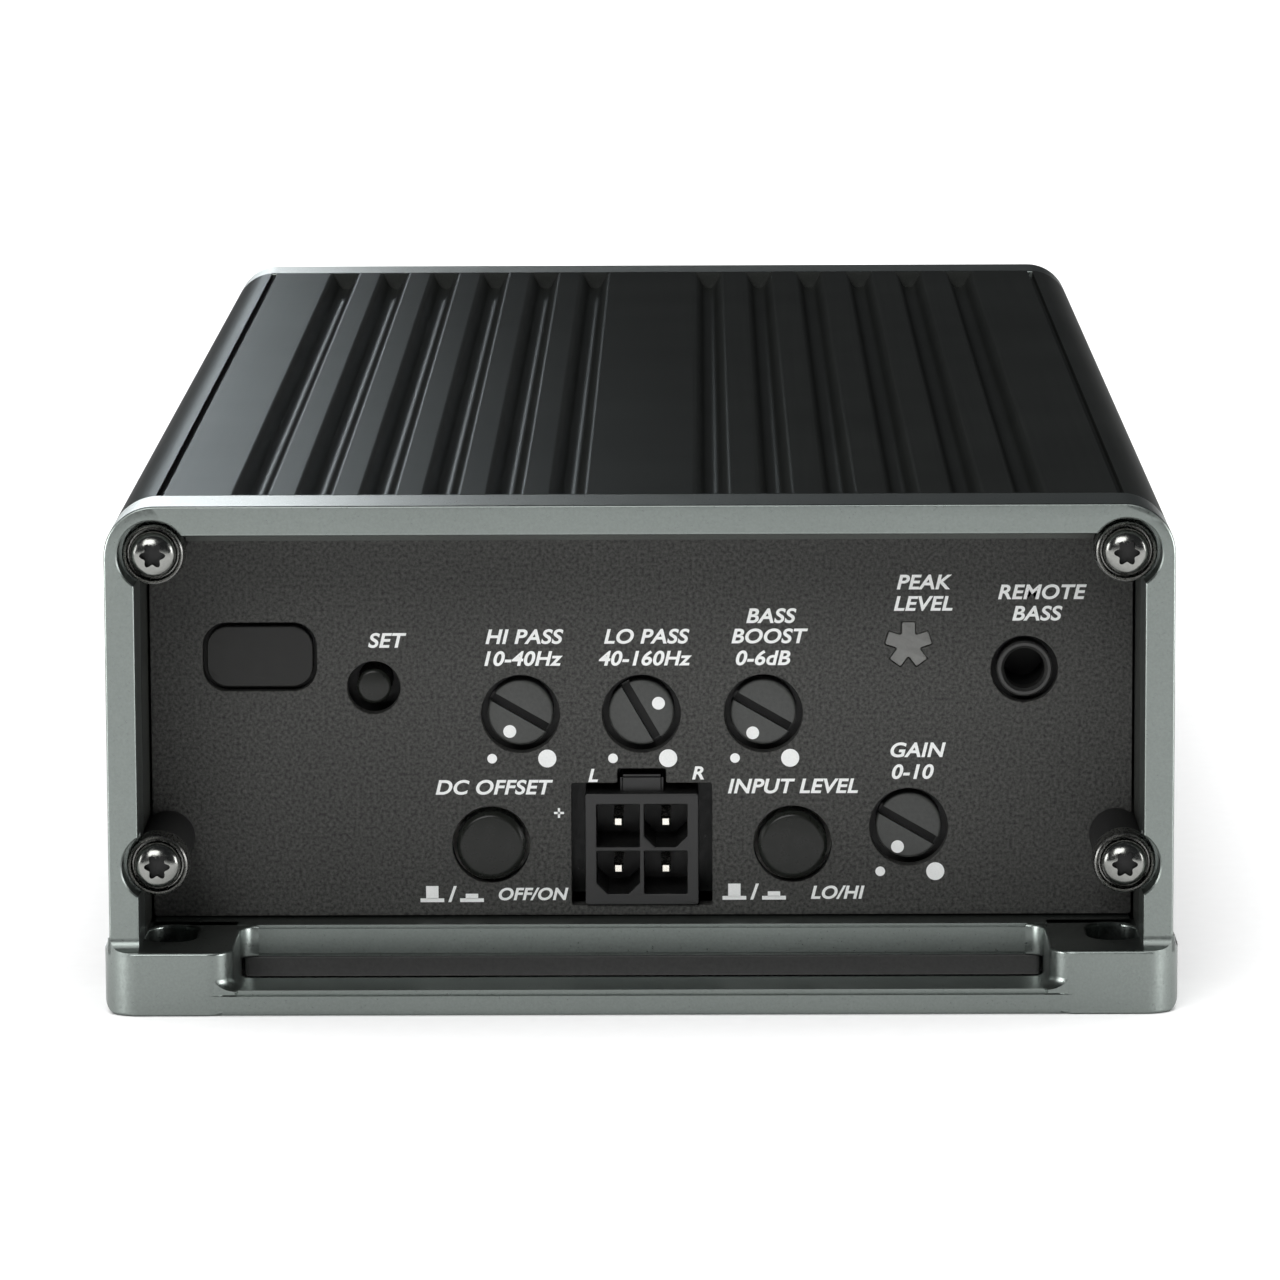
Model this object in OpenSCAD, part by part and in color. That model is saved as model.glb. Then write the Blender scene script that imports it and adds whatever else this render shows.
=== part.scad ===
// Compact two-channel car amplifier.
// Millimetres, +Z up. The origin is under the middle of the case, on the mounting surface.
// The control end faces -Y and the power end faces +Y.
// A "setback" is a distance behind the face of the nearer end frame.

/* [Case] */
// Width over the case and the end frames
body_w = 92; // [91:0.5:96]
// Width over the mounting feet
foot_w = 93; // [92.5:0.5:97]
// Height from the mounting surface to the top
body_h = 44.4; // [44:0.2:47]
// Length over both end frames
body_l = 190; // [185:1:240]
// Radius of the two long top edges
corner_r = 4.4; // [4.2:0.1:4.6]

/* [End frames] */
// Thickness of the frame bars
bar_t = 2.6; // [2.4:0.1:2.8]
// Depth of the frame ahead of the case
frame_depth = 8; // [7:0.5:9]
// Setback of each panel
panel_setback = 15.5; // [15:0.5:17]
// Height of the feet
foot_h = 5.6; // [5:0.1:6]
// Distance from the middle to the inner side of a foot
foot_inner = 35.3; // [34:0.1:36]
// Width of a mounting slot
slot_w = 4.4; // [4:0.1:4.6]
// End-to-end length of a mounting slot
slot_l = 7.4; // [6:0.1:7.6]
// Distance of the mounting slots from the middle
slot_x = 41.1; // [41:0.1:41.2]

/* [Heatsink] */
// Number of grooves on each side of the middle land
groove_count = 6; // [3:1:6]
// Spacing of the grooves
groove_pitch = 5.5; // [5:0.1:5.5]
// Width of a groove at its mouth
groove_w = 2.9; // [2:0.1:3]
// Width of a groove at its floor
groove_floor_w = 1.7; // [1:0.1:1.8]
// Depth of a groove
groove_d = 2; // [1:0.1:2]

/* [Controls] */
// Diameter of a trimmer knob
knob_d = 6.1; // [5.5:0.1:6.2]
// Width of the screwdriver slot in a knob
knob_slot_w = 0.7; // [0.5:0.1:1]
// Diameter of a latching button
button_d = 6.06; // [5.6:0.02:6.2]
// Diameter of the setup button
setup_d = 3.04; // [2.8:0.02:3.2]
// Radius of the remote jack's bore
jack_r = 1.8; // [1.78:0.01:1.85]

/* [Hidden] */
$fn = 48;
half_w = body_w / 2;
half_l = body_l / 2;
inner_x = half_w - bar_t;          // inner face of the case walls and frame bars
opening_top = body_h - bar_t;      // top of the frame opening
roof_z = body_h - 4;               // underside of the case roof
plate_z0 = 1;                      // underside of the base plate
plate_z1 = 2.8;                    // top of the base plate
panel_t = 1.6;
panel_back = panel_setback + panel_t;
panel_half_w = inner_x - 0.2;
panel_z0 = foot_h + 0.15;
panel_z1 = roof_z - 0.2;
pcb_t = 1.6;

// frame screws, concentric with the top corners
screw_x = half_w - 4.2;
screw_high_z = body_h - 4.3;
screw_low_z = 12.9;
m3_r = 1.5;
m3_bore_r = 1.55;
relief_r = 3.05;                   // round relief in the bars
ledge_r = 2.5;                     // narrower relief behind the ledge
ledge_setback = 4.1;
boss_r = 2.35;
washer_r = 2.8;
cup_r = 2.25;                      // inside of the washer's cup
head_r = 2.1;                      // frame screw's head
channel_r = 3.4;
frame_screw_tip = 25;

// feet and lip of an end frame
bar_setback = 1.2;                 // the feet stand this far ahead of the bars
foot_outer_r = 3;
foot_inner_r = 2.3;
foot_back = 14;                    // setback of the back of a foot
lip_setback = 11.9;
tie_h = 2.2;                       // tie strip between the feet
tie_depth = 6.2;
slot_setback = 8.7;
web_back = 23;                     // end of the web under the panel
web_screw_setback = 20;
web_screw_x = 25;

// base plate fixing
flange_w = 5;
flange_h = 3.6;
side_screw_x = 41;
side_screw_setbacks = [36, half_l, body_l - 36];

// panel controls: [x, z]
hi_pass_at = [-10.65, 23.8];
lo_pass_at = [0, 23.8];
boost_at = [10.75, 23.8];
gain_at = [23.55, 13.6];
pots_at = [hi_pass_at, lo_pass_at, boost_at, gain_at];
offset_at = [-13.3, 12.1];
level_at = [13.3, 12.1];
latching_at = [offset_at, level_at];
setup_at = [-23.55, 26.2];
window_at = [-33.55, 28.97];
window_size = [10.05, 6.1];
indicator_at = [23.5, 29.9];
jack_at = [33.7, 27.7];
header_at = [0, 11.75];
header_pitch = 4.2;
header_w = 10;

pot_hole_r = 3.47;
knob_setback = 16.3;
knob_depth = 2;
knob_stem_r = 1.5;
pot_front = 18.6;
pot_w = 9.4;
button_hole_r = 3.42;
button_setback = 14.9;
button_stem_r = 1.8;
latch_front = 20;
setup_hole_r = 2.34;
setup_front = 20.5;
running = 0.06;                    // radial clearance of the moving stems
board_front = 24;                  // front face of the control board

// inside
main_z = 9;                        // underside of the main board
main_top = main_z + pcb_t;
main_half_w = 38;
main_front = 28;
main_back = body_l - 20;
standoff_at = [for (x = [-31, 31], s = [34, half_l, body_l - 34]) [x, s]];
pad_x = 40.4;                      // face of the transistor pads on the walls
pad_setback = 25;                  // the pads stop short of the terminals
insulator_t = 0.3;
insulator_w = 11.8;
transistor_t = 4.6;
transistor_w = 10.2;
transistor_pitch = 15;
transistor_count = 6;
transistor_z = [17.5, 33];
transistor_first = 57;             // setback of the first transistor's middle
clamp_t = 2.5;
clamp_z = [21, 27];
transformer_at = [6, 118];
inductors_at = [[-9, 52], [13, 52]];
bulk_capacitors_at = [for (i = [0:3], x = [-23, -10]) [x, 88 + 13 * i]];
film_capacitors_at = [for (i = [0:3]) [-26, 44 + 9 * i]];
chips_at = [[25, 78], [25, 92], [8, 74], [-6, 74], [22, 40]];

// power end, seen from behind
terminal_z = 24.2;
terminal_h = 13.4;
terminal_wall_setback = 4.2;
terminal_seat = 9;                 // setback of the terminal seats
terminal_back = 19;
power_poles_x = [-33, -22, -11];
speaker_poles_x = [27.2, 37.2];
pole_half_w = 5.5;
speaker_half_w = 5;
barrier_t = 1.2;
sleeve_r = 3.2;
terminal_screw_r = 2;
terminal_gap = 0.3;
fuse_x = 8.6;
fuses_z = [19.8, 28.6];
fuse_body = [19, 5.2, 8.1];        // width, thickness, height
fuse_setback = 3.6;
blade_w = 5.2;
blade_t = 0.7;
blade_x = 6.6;
blade_l = 6.6;

function y_at(setback) = setback - half_l;

// --- helpers ---------------------------------------------------------

module block(x, s, z)
  translate([x[0], y_at(s[0]), z[0]])
    cube([x[1] - x[0], s[1] - s[0], z[1] - z[0]]);

module rod_y(at, r, s)
  translate([at[0], y_at(s[0]), at[1]])
    rotate([-90, 0, 0])
      cylinder(h = s[1] - s[0], r = r);

module cone_y(at, r, s)
  translate([at[0], y_at(s[0]), at[1]])
    rotate([-90, 0, 0])
      cylinder(h = s[1] - s[0], r1 = r[0], r2 = r[1]);

module rod_z(x, s, r, z)
  translate([x, y_at(s), z[0]])
    cylinder(h = z[1] - z[0], r = r);

module prism_y(s)
  translate([0, y_at(s[1]), 0])
    rotate([90, 0, 0])
      linear_extrude(s[1] - s[0])
        children();

module both_sides() {
  children();
  mirror([1, 0, 0])
    children();
}

module at_rear()
  rotate([0, 0, 180])
    children();

// round-topped outline of the case
module case_outline(z0) {
  translate([-half_w, z0])
    square([body_w, body_h - corner_r - z0]);
  translate([corner_r - half_w, z0])
    square([body_w - 2 * corner_r, body_h - z0]);
  for (side = [-1, 1])
    translate([side * (half_w - corner_r), body_h - corner_r])
      circle(corner_r);
}

module rounded_rect(size, r) {
  square([size[0] - 2 * r, size[1]], center = true);
  square([size[0], size[1] - 2 * r], center = true);
  for (x = [-1, 1], y = [-1, 1])
    translate([x * (size[0] / 2 - r), y * (size[1] / 2 - r)])
      circle(r);
}

module at_frame_screws()
  for (x = [-screw_x, screw_x], z = [screw_low_z, screw_high_z])
    translate([x, 0, z])
      children();

// --- case ------------------------------------------------------------

module groove()
  polygon([
    [-groove_w / 2, 0.1],
    [-groove_floor_w / 2, -groove_d],
    [groove_floor_w / 2, -groove_d],
    [groove_w / 2, 0.1]
  ]);

module case_section()
  difference() {
    case_outline(plate_z1);
    translate([-inner_x, plate_z1 - 1])
      square([2 * inner_x, roof_z - plate_z1 + 1]);
    for (side = [-1, 1]) {
      for (i = [0 : groove_count - 1])
        translate([side * (35.2 - groove_w / 2 - i * groove_pitch), body_h])
          groove();
      // fine shadow lines beside the rounded edges
      translate([side * (half_w - corner_r) - 0.25, body_h - 0.6])
        square([0.5, 1]);
      translate([side * half_w - 0.6, body_h - corner_r - 0.25])
        square([1.2, 0.5]);
    }
  }

module heatsink_case()
  color([0.1, 0.1, 0.11])
    difference() {
      union() {
        prism_y([frame_depth, body_l - frame_depth])
          case_section();
        at_frame_screws()
          rod_y([0, 0], channel_r, [panel_back, body_l - panel_back]);
        both_sides() {
          block([pad_x, inner_x + 0.1], [pad_setback, body_l - pad_setback], [16.5, 34]);
          block([inner_x - flange_w, inner_x + 0.1], [27, body_l - 27], [plate_z1, plate_z1 + flange_h]);
        }
      }
      at_frame_screws() {
        rod_y([0, 0], ledge_r, [0, panel_back]);
        rod_y([0, 0], ledge_r, [body_l - panel_back, body_l]);
        rod_y([0, 0], m3_bore_r, [panel_back - 1, frame_screw_tip + 1]);
        rod_y([0, 0], m3_bore_r, [body_l - frame_screw_tip - 1, body_l - panel_back + 1]);
      }
      both_sides() {
        // room for the feet of the end frames
        block([inner_x - 1, half_w + 1], [0, foot_back], [0, foot_h]);
        block([inner_x - 1, half_w + 1], [body_l - foot_back, body_l], [0, foot_h]);
        for (s = side_screw_setbacks)
          rod_z(side_screw_x, s, m3_bore_r, [plate_z1 - 1, plate_z1 + flange_h + 1]);
        for (s = clamp_screw_setbacks())
          translate([pad_x - 1, y_at(s), 24])
            rotate([0, 90, 0])
              cylinder(h = 5, r = m3_bore_r);
      }
    }

module base_plate_holes() {
  both_sides()
    for (s = side_screw_setbacks)
      children_at(side_screw_x, s)
        children();
  both_sides()
    for (s = [web_screw_setback, body_l - web_screw_setback])
      children_at(web_screw_x, s)
        children();
}

module children_at(x, s)
  translate([x, y_at(s), 0])
    children();

module base_plate()
  color([0.07, 0.07, 0.075])
    difference() {
      block([-half_w + 0.4, half_w - 0.4], [lip_setback + 0.2, body_l - lip_setback - 0.2], [plate_z0, plate_z1]);
      both_sides()
        for (s = [[0, foot_back + 0.2], [body_l - foot_back - 0.2, body_l]])
          block([foot_inner - 0.3, half_w + 1], s, [0, plate_z1 + 1]);
      base_plate_holes() {
        translate([0, 0, plate_z0 - 1])
          cylinder(h = 4, r = m3_r + 0.2);
        translate([0, 0, plate_z0 - 0.01])
          cylinder(h = 1.51, r1 = 3.2, r2 = m3_r + 0.2);
      }
    }

module base_plate_screws()
  color([0.2, 0.2, 0.21])
    base_plate_holes()
      difference() {
        union() {
          translate([0, 0, plate_z0])
            cylinder(h = 1.5, r1 = 3, r2 = m3_r);
          translate([0, 0, plate_z0 + 1.5])
            cylinder(h = 2.7, r = m3_r);
        }
        cross_recess(plate_z0 - 0.1, 0.9);
      }

module cross_recess(z, depth)
  for (angle = [0, 90])
    rotate([0, 0, angle])
      translate([-1.5, -0.3, z])
        cube([3, 0.6, depth]);

// --- end frames ------------------------------------------------------

// outline of a foot seen from above, with the front corners rounded
module foot_outline(outer_r, inner_r) {
  w = foot_w / 2 - foot_inner;
  translate([foot_inner, y_at(outer_r)])
    square([w, foot_back - outer_r]);
  translate([foot_inner + inner_r, y_at(0)])
    square([w - inner_r - outer_r, outer_r + 1]);
  translate([foot_inner + inner_r, y_at(inner_r)])
    circle(inner_r);
  translate([foot_w / 2 - outer_r, y_at(outer_r)])
    circle(outer_r);
}

module frame_bars()
  difference() {
    prism_y([bar_setback, frame_depth])
      difference() {
        case_outline(foot_h - 1);
        translate([-inner_x, 0])
          square([2 * inner_x, opening_top]);
      }
    at_frame_screws() {
      rod_y([0, 0], relief_r, [-1, ledge_setback]);
      rod_y([0, 0], ledge_r, [0, frame_depth + 1]);
    }
  }

module end_frame()
  difference() {
    union() {
      frame_bars();
      both_sides()
        linear_extrude(foot_h)
          foot_outline(foot_outer_r, foot_inner_r);
      // web with the lip, under the recess and the panel
      block([-inner_x + 0.1, inner_x - 0.1], [lip_setback, web_back], [plate_z1, foot_h]);
      // tie strip between the feet
      block([-foot_inner - 2.2, foot_inner + 2.2], [0, tie_depth], [0, tie_h]);
    }
    both_sides() {
      linear_extrude(20, center = true)
        for (end = [-1, 1])
          translate([slot_x, y_at(slot_setback) + end * (slot_l - slot_w) / 2])
            circle(slot_w / 2);
      block([slot_x - slot_w / 2, slot_x + slot_w / 2],
            [slot_setback - (slot_l - slot_w) / 2, slot_setback + (slot_l - slot_w) / 2],
            [-1, foot_h + 0.5]);
      children_at(web_screw_x, web_screw_setback)
        cylinder(h = 20, r = m3_bore_r);
    }
  }

module front_end_frame()
  color([0.55, 0.58, 0.58])
    end_frame();

module rear_end_frame()
  color([0.55, 0.58, 0.58])
    at_rear()
      end_frame();

// --- frame screws ----------------------------------------------------

module star_recess(depth)
  rotate([-90, 0, 0]) {
    cylinder(h = depth, r = 1.05);
    for (i = [0:5])
      rotate([0, 0, 60 * i])
        translate([1.05, 0, 0])
          cylinder(h = depth, r = 0.32);
  }

module frame_screw()
  difference() {
    union() {
      cone_y([0, 0], [head_r - 0.7, head_r], [1.4, 2.1]);
      rod_y([0, 0], head_r, [2.1, 3]);
      rod_y([0, 0], m3_r, [3, frame_screw_tip]);
    }
    translate([0, y_at(1.2), 0])
      star_recess(1.4);
  }

module cup_washer()
  difference() {
    rod_y([0, 0], washer_r, [2.3, ledge_setback]);
    rod_y([0, 0], cup_r, [1, 3]);
    rod_y([0, 0], m3_r + 0.1, [2, ledge_setback + 1]);
  }

module front_frame_screws()
  color([0.35, 0.35, 0.36])
    at_frame_screws()
      frame_screw();

module rear_frame_screws()
  color([0.35, 0.35, 0.36])
    at_rear()
      at_frame_screws()
        frame_screw();

module front_cup_washers()
  color([0.12, 0.12, 0.12])
    at_frame_screws()
      cup_washer();

module rear_cup_washers()
  color([0.12, 0.12, 0.12])
    at_rear()
      at_frame_screws()
        cup_washer();

// --- panels ----------------------------------------------------------

// plate with the four screw bosses; the cut-outs are the children
module panel_with_bosses()
  difference() {
    union() {
      block([-panel_half_w, panel_half_w], [panel_setback, panel_back], [panel_z0, panel_z1]);
      at_frame_screws()
        rod_y([0, 0], boss_r, [ledge_setback, panel_back]);
    }
    at_frame_screws()
      rod_y([0, 0], m3_r + 0.1, [0, panel_back + 1]);
    children();
  }

// five-armed asterisk
module asterisk(arm_w, arm_l)
  for (i = [0:4])
    rotate([0, 0, 90 + 72 * i])
      translate([0, -arm_w / 2])
        square([arm_l, arm_w]);

module front_panel()
  color([0.09, 0.09, 0.09])
    panel_with_bosses() {
      through = [panel_setback - 1, panel_back + 1];
      for (at = pots_at)
        rod_y(at, pot_hole_r, through);
      for (at = latching_at)
        rod_y(at, button_hole_r, through);
      rod_y(setup_at, setup_hole_r, through);
      rod_y(jack_at, 3.2, through);
      // input header, with a notch for its latch
      block([-6.2, 6.2], through, [6.65, 17.6]);
      block([-2.15, 2.15], through, [17, 18.9]);
      prism_y(through) {
        translate(window_at)
          rounded_rect(window_size, 1.9);
        translate(indicator_at)
          asterisk(1.3, 2.05);
      }
    }

module window_cover()
  color([0.1, 0.1, 0.1]) {
    prism_y([panel_setback + 0.2, panel_back])
      translate(window_at)
        rounded_rect(window_size - [0.4, 0.4], 1.7);
    prism_y([panel_back, panel_back + 0.8])
      translate(window_at)
        rounded_rect(window_size + [2, 2], 2.5);
  }

module indicator_lens()
  color([0.6, 0.6, 0.6]) {
    prism_y([panel_setback + 0.1, panel_back])
      translate(indicator_at)
        asterisk(1.2, 2);
    rod_y(indicator_at, 2.9, [panel_back, panel_back + 1]);
  }

module indicator_led()
  color([0.85, 0.85, 0.8]) {
    rod_y(indicator_at, 1.5, [panel_back + 1.6, board_front]);
    rod_y(indicator_at, 1.9, [board_front - 1, board_front]);
  }

// --- input header and jack -------------------------------------------

header_front = 15;
pocket_w = 3.8;

module header_pocket(chamfered)
  polygon(chamfered
    ? [[-1.9, 1.9], [1.9, 1.9], [1.9, -0.9], [0.9, -1.9], [-0.9, -1.9], [-1.9, -0.9]]
    : [[-1.9, 1.9], [1.9, 1.9], [1.9, -1.9], [-1.9, -1.9]]);

module input_header_housing()
  color([0.07, 0.07, 0.07])
    difference() {
      union() {
        block([-header_w / 2, header_w / 2], [header_front, board_front],
              [header_at[1] - header_w / 2, header_at[1] + header_w / 2]);
        // ramp for the plug's latch
        block([-1.9, 1.9], [header_front + 1.2, board_front], [16.7, 18.2]);
      }
      prism_y([header_front - 1, board_front - 1.4])
        for (x = [-1, 1], z = [-1, 1])
          translate([x * header_pitch / 2, header_at[1] + z * header_pitch / 2])
            header_pocket(x * z > 0);
      for (x = [-1, 1], z = [-1, 1])
        rod_y([x * header_pitch / 2, header_at[1] + z * header_pitch / 2], 0.62, [board_front - 2, board_front + 1]);
    }

module input_header_pins()
  color([0.8, 0.75, 0.6])
    for (x = [-1, 1], z = [-1, 1])
      block([x * header_pitch / 2 - 0.42, x * header_pitch / 2 + 0.42], [17, board_front + 3],
            [header_at[1] + z * header_pitch / 2 - 0.42, header_at[1] + z * header_pitch / 2 + 0.42]);

module remote_jack()
  color([0.08, 0.08, 0.08])
    difference() {
      union() {
        rod_y(jack_at, 2.45, [panel_setback + 0.1, panel_back + 1]);
        block([jack_at[0] - 3.2, jack_at[0] + 3.2], [panel_back + 0.6, board_front], [jack_at[1] - 3, jack_at[1] + 3]);
      }
      rod_y(jack_at, jack_r, [panel_setback, board_front - 1]);
    }

// --- trimmers and switches -------------------------------------------

module trimmer_bodies()
  color([0.15, 0.2, 0.35])
    for (at = pots_at)
      difference() {
        block([at[0] - pot_w / 2, at[0] + pot_w / 2], [pot_front, board_front], [at[1] - pot_w / 2, at[1] + pot_w / 2]);
        rod_y(at, knob_stem_r + running, [pot_front - 1, board_front - 1]);
      }

// the slot leans by slant degrees below the horizontal, to the right
module knob(at, slant)
  difference() {
    union() {
      rod_y(at, knob_d / 2, [knob_setback, knob_setback + knob_depth]);
      rod_y(at, knob_stem_r, [knob_setback + knob_depth, board_front - 1.5]);
    }
    translate([at[0], y_at(knob_setback - 1), at[1]])
      rotate([0, slant, 0])
        translate([-4, 0, -knob_slot_w / 2])
          cube([8, 1.8, knob_slot_w]);
  }

module knob_hi_pass()
  color([0.1, 0.1, 0.1])
    knob(hi_pass_at, 30);

module knob_lo_pass()
  color([0.1, 0.1, 0.1])
    knob(lo_pass_at, 60);

module knob_boost()
  color([0.1, 0.1, 0.1])
    knob(boost_at, 30);

module knob_gain()
  color([0.1, 0.1, 0.1])
    knob(gain_at, 30);

module latching_switch_bodies()
  color([0.8, 0.8, 0.78])
    for (at = latching_at)
      difference() {
        block([at[0] - 4, at[0] + 4], [latch_front, board_front], [at[1] - 4, at[1] + 4]);
        rod_y(at, button_stem_r + running, [latch_front - 1, board_front - 0.3]);
      }

module latching_button(at) {
  cone_y(at, [button_d / 2 - 0.35, button_d / 2], [button_setback, button_setback + 0.35]);
  rod_y(at, button_d / 2, [button_setback + 0.35, 17.5]);
  rod_y(at, button_stem_r, [17.5, 21.5]);
}

module button_offset()
  color([0.1, 0.1, 0.1])
    latching_button(offset_at);

module button_level()
  color([0.1, 0.1, 0.1])
    latching_button(level_at);

module setup_switch_body()
  color([0.1, 0.1, 0.1])
    difference() {
      block([setup_at[0] - 3, setup_at[0] + 3], [setup_front, board_front], [setup_at[1] - 3, setup_at[1] + 3]);
      rod_y(setup_at, setup_d / 2 + running, [setup_front - 1, board_front - 1]);
    }

module setup_button()
  color([0.1, 0.1, 0.1]) {
    cone_y(setup_at, [setup_d / 2 - 0.2, setup_d / 2], [16.2, 16.4]);
    rod_y(setup_at, setup_d / 2, [16.4, setup_front + 1.5]);
  }

// --- boards ----------------------------------------------------------

module control_board()
  color([0.05, 0.3, 0.15])
    difference() {
      block([-37, 37], [board_front, board_front + pcb_t], [6.2, 38]);
      for (x = [-1, 1], z = [-1, 1])
        rod_y([x * header_pitch / 2, header_at[1] + z * header_pitch / 2], 0.62, [board_front - 1, board_front + 3]);
    }

module main_board()
  color([0.05, 0.3, 0.15])
    difference() {
      block([-main_half_w, main_half_w], [main_front, main_back], [main_z, main_top]);
      for (at = standoff_at)
        rod_z(at[0], at[1], m3_r + 0.1, [main_z - 1, main_top + 1]);
    }

module board_standoffs()
  color([0.75, 0.7, 0.5])
    for (at = standoff_at)
      difference() {
        rod_z(at[0], at[1], 2.8, [plate_z1, main_z]);
        rod_z(at[0], at[1], m3_bore_r, [plate_z1 + 1.2, main_z + 1]);
      }

module board_screws()
  color([0.7, 0.7, 0.72])
    for (at = standoff_at)
      difference() {
        union() {
          rod_z(at[0], at[1], m3_r, [plate_z1 + 1.6, main_top]);
          rod_z(at[0], at[1], 2.8, [main_top, main_top + 1.8]);
        }
        children_at(at[0], at[1])
          cross_recess(main_top + 1, 1);
      }

module board_link()
  color([0.1, 0.1, 0.1]) {
    block([-27, -9], [board_front + pcb_t, main_front + 6], [main_top, main_top + 5]);
    for (i = [0:6])
      block([-25.6 + 2.54 * i, -25 + 2.54 * i], [main_front + 6, main_front + 8], [main_top, main_top + 0.6]);
  }

// --- wound parts -----------------------------------------------------

module toroid_core(r_in, r_out, z)
  translate([0, 0, z[0]])
    rotate_extrude()
      translate([r_in, 0])
        square([r_out - r_in, z[1] - z[0]]);

// square loops of wire, laid round the core and clear of its hollow inner face
module toroid_turns(r_in, r_out, z, count, wire) {
  inner = sqrt(pow(r_in, 2) - pow(wire / 2, 2)) - 0.06;
  for (i = [0 : count - 1])
    rotate([0, 0, 360 * i / count])
      translate([0, wire / 2, 0])
        rotate([90, 0, 0])
          linear_extrude(wire)
            difference() {
              translate([inner - wire, z[0] - wire])
                square([r_out - inner + 2 * wire, z[1] - z[0] + 2 * wire]);
              translate([inner, z[0]])
                square([r_out - inner, z[1] - z[0]]);
            }
}

transformer_z = [main_top + 1.6, main_top + 14];
inductor_z = [main_top + 1.3, main_top + 9.3];

module transformer_core()
  color([0.15, 0.3, 0.2])
    children_at(transformer_at[0] + 10, transformer_at[1])
      toroid_core(7.5, 14, transformer_z);

module transformer_winding()
  color([0.7, 0.35, 0.12])
    children_at(transformer_at[0] + 10, transformer_at[1])
      toroid_turns(7.5, 14, transformer_z, 18, 1.6);

module inductor_cores()
  color([0.75, 0.7, 0.2])
    for (at = inductors_at)
      children_at(at[0], at[1])
        toroid_core(4.8, 9, inductor_z);

module inductor_windings()
  color([0.7, 0.35, 0.12])
    for (at = inductors_at)
      children_at(at[0], at[1])
        toroid_turns(4.8, 9, inductor_z, 14, 1.3);

// --- board parts -----------------------------------------------------

module bulk_capacitors()
  color([0.12, 0.12, 0.2])
    for (at = bulk_capacitors_at)
      children_at(at[0], at[1])
        translate([0, 0, main_top])
          rotate_extrude()
            polygon([[0, 0], [4.9, 0], [4.9, 1], [4.6, 1.3], [4.6, 1.8], [4.9, 2.1], [4.9, 19.6], [4.5, 20], [0, 20]]);

module film_capacitors()
  color([0.6, 0.15, 0.1])
    for (at = film_capacitors_at)
      block([at[0] - 6, at[0] + 6], [at[1] - 2.6, at[1] + 2.6], [main_top, main_top + 10]);

module driver_chips()
  color([0.08, 0.08, 0.08])
    for (at = chips_at) {
      block([at[0] - 3, at[0] + 3], [at[1] - 2, at[1] + 2], [main_top + 0.2, main_top + 1.8]);
      for (i = [0:3])
        block([at[0] - 2.2 + 1.27 * i, at[0] - 1.8 + 1.27 * i], [at[1] - 3, at[1] + 3], [main_top, main_top + 0.2]);
    }

function transistor_setbacks() = [for (i = [0 : transistor_count - 1]) transistor_first + i * transistor_pitch];
function clamp_screw_setbacks() =
  [for (i = [0 : transistor_count - 2]) transistor_first + (i + 0.5) * transistor_pitch];

module transistors()
  color([0.1, 0.1, 0.1])
    both_sides()
      for (s = transistor_setbacks()) {
        x1 = pad_x - insulator_t;
        block([x1 - transistor_t, x1], [s - transistor_w / 2, s + transistor_w / 2], [transistor_z[0], 26.5]);
        block([x1 - 1.3, x1], [s - transistor_w / 2, s + transistor_w / 2], [26.5, transistor_z[1]]);
        for (leg = [-1, 0, 1])
          block([x1 - 3, x1 - 2.5], [s + 2.54 * leg - 0.4, s + 2.54 * leg + 0.4], [main_top, transistor_z[0]]);
      }

module insulator_pads()
  color([0.7, 0.7, 0.65])
    both_sides()
      for (s = transistor_setbacks())
        block([pad_x - insulator_t, pad_x], [s - insulator_w / 2, s + insulator_w / 2], [17, 33.6]);

module clamp_bars()
  color([0.7, 0.7, 0.72])
    both_sides() {
      x1 = pad_x - insulator_t - transistor_t;
      s0 = transistor_first - 6;
      s1 = s0 + 12 + (transistor_count - 1) * transistor_pitch;
      difference() {
        block([x1 - clamp_t, x1], [s0, s1], clamp_z);
        for (s = clamp_screw_setbacks())
          translate([x1 - 5, y_at(s), 24])
            rotate([0, 90, 0])
              cylinder(h = 10, r = m3_r + 0.1);
      }
    }

module clamp_screws()
  color([0.6, 0.6, 0.62])
    both_sides()
      for (s = clamp_screw_setbacks())
        translate([pad_x - insulator_t - transistor_t - clamp_t, y_at(s), 24])
          rotate([0, 90, 0]) {
            translate([0, 0, -2])
              cylinder(h = 2, r = 2.8);
            cylinder(h = clamp_t + transistor_t + insulator_t + 2.4, r = m3_r);
          }

// --- power end, all seen from behind ---------------------------------

module rear_panel()
  color([0.09, 0.09, 0.09])
    at_rear()
      panel_with_bosses() {
        through = [panel_setback - 1, panel_back + 1];
        z = [terminal_z - terminal_h / 2 - 0.2, terminal_z + terminal_h / 2 + 0.2];
        block(strip_span(power_poles_x, pole_half_w + 0.2), through, z);
        block(strip_span(speaker_poles_x, speaker_half_w + 0.2), through, z);
        block([fuse_x - 11.2, fuse_x + 11.2], through, [14.3, 34.1]);
      }

function strip_span(poles, half) = [poles[0] - half, poles[len(poles) - 1] + half];

module terminal_strip(poles, half) {
  z = [terminal_z - terminal_h / 2, terminal_z + terminal_h / 2];
  difference() {
    block(strip_span(poles, half), [terminal_wall_setback, terminal_back], z);
    for (x = poles) {
      block([x - half + barrier_t / 2, x + half - barrier_t / 2],
            [0, terminal_seat], [z[0] - 1, z[1] - 1.4]);
      rod_y([x, terminal_z], sleeve_r + 0.05, [terminal_seat - 1, terminal_back + 1]);
    }
  }
}

module power_terminal_strip()
  color([0.06, 0.06, 0.06])
    at_rear()
      terminal_strip(power_poles_x, pole_half_w);

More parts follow.
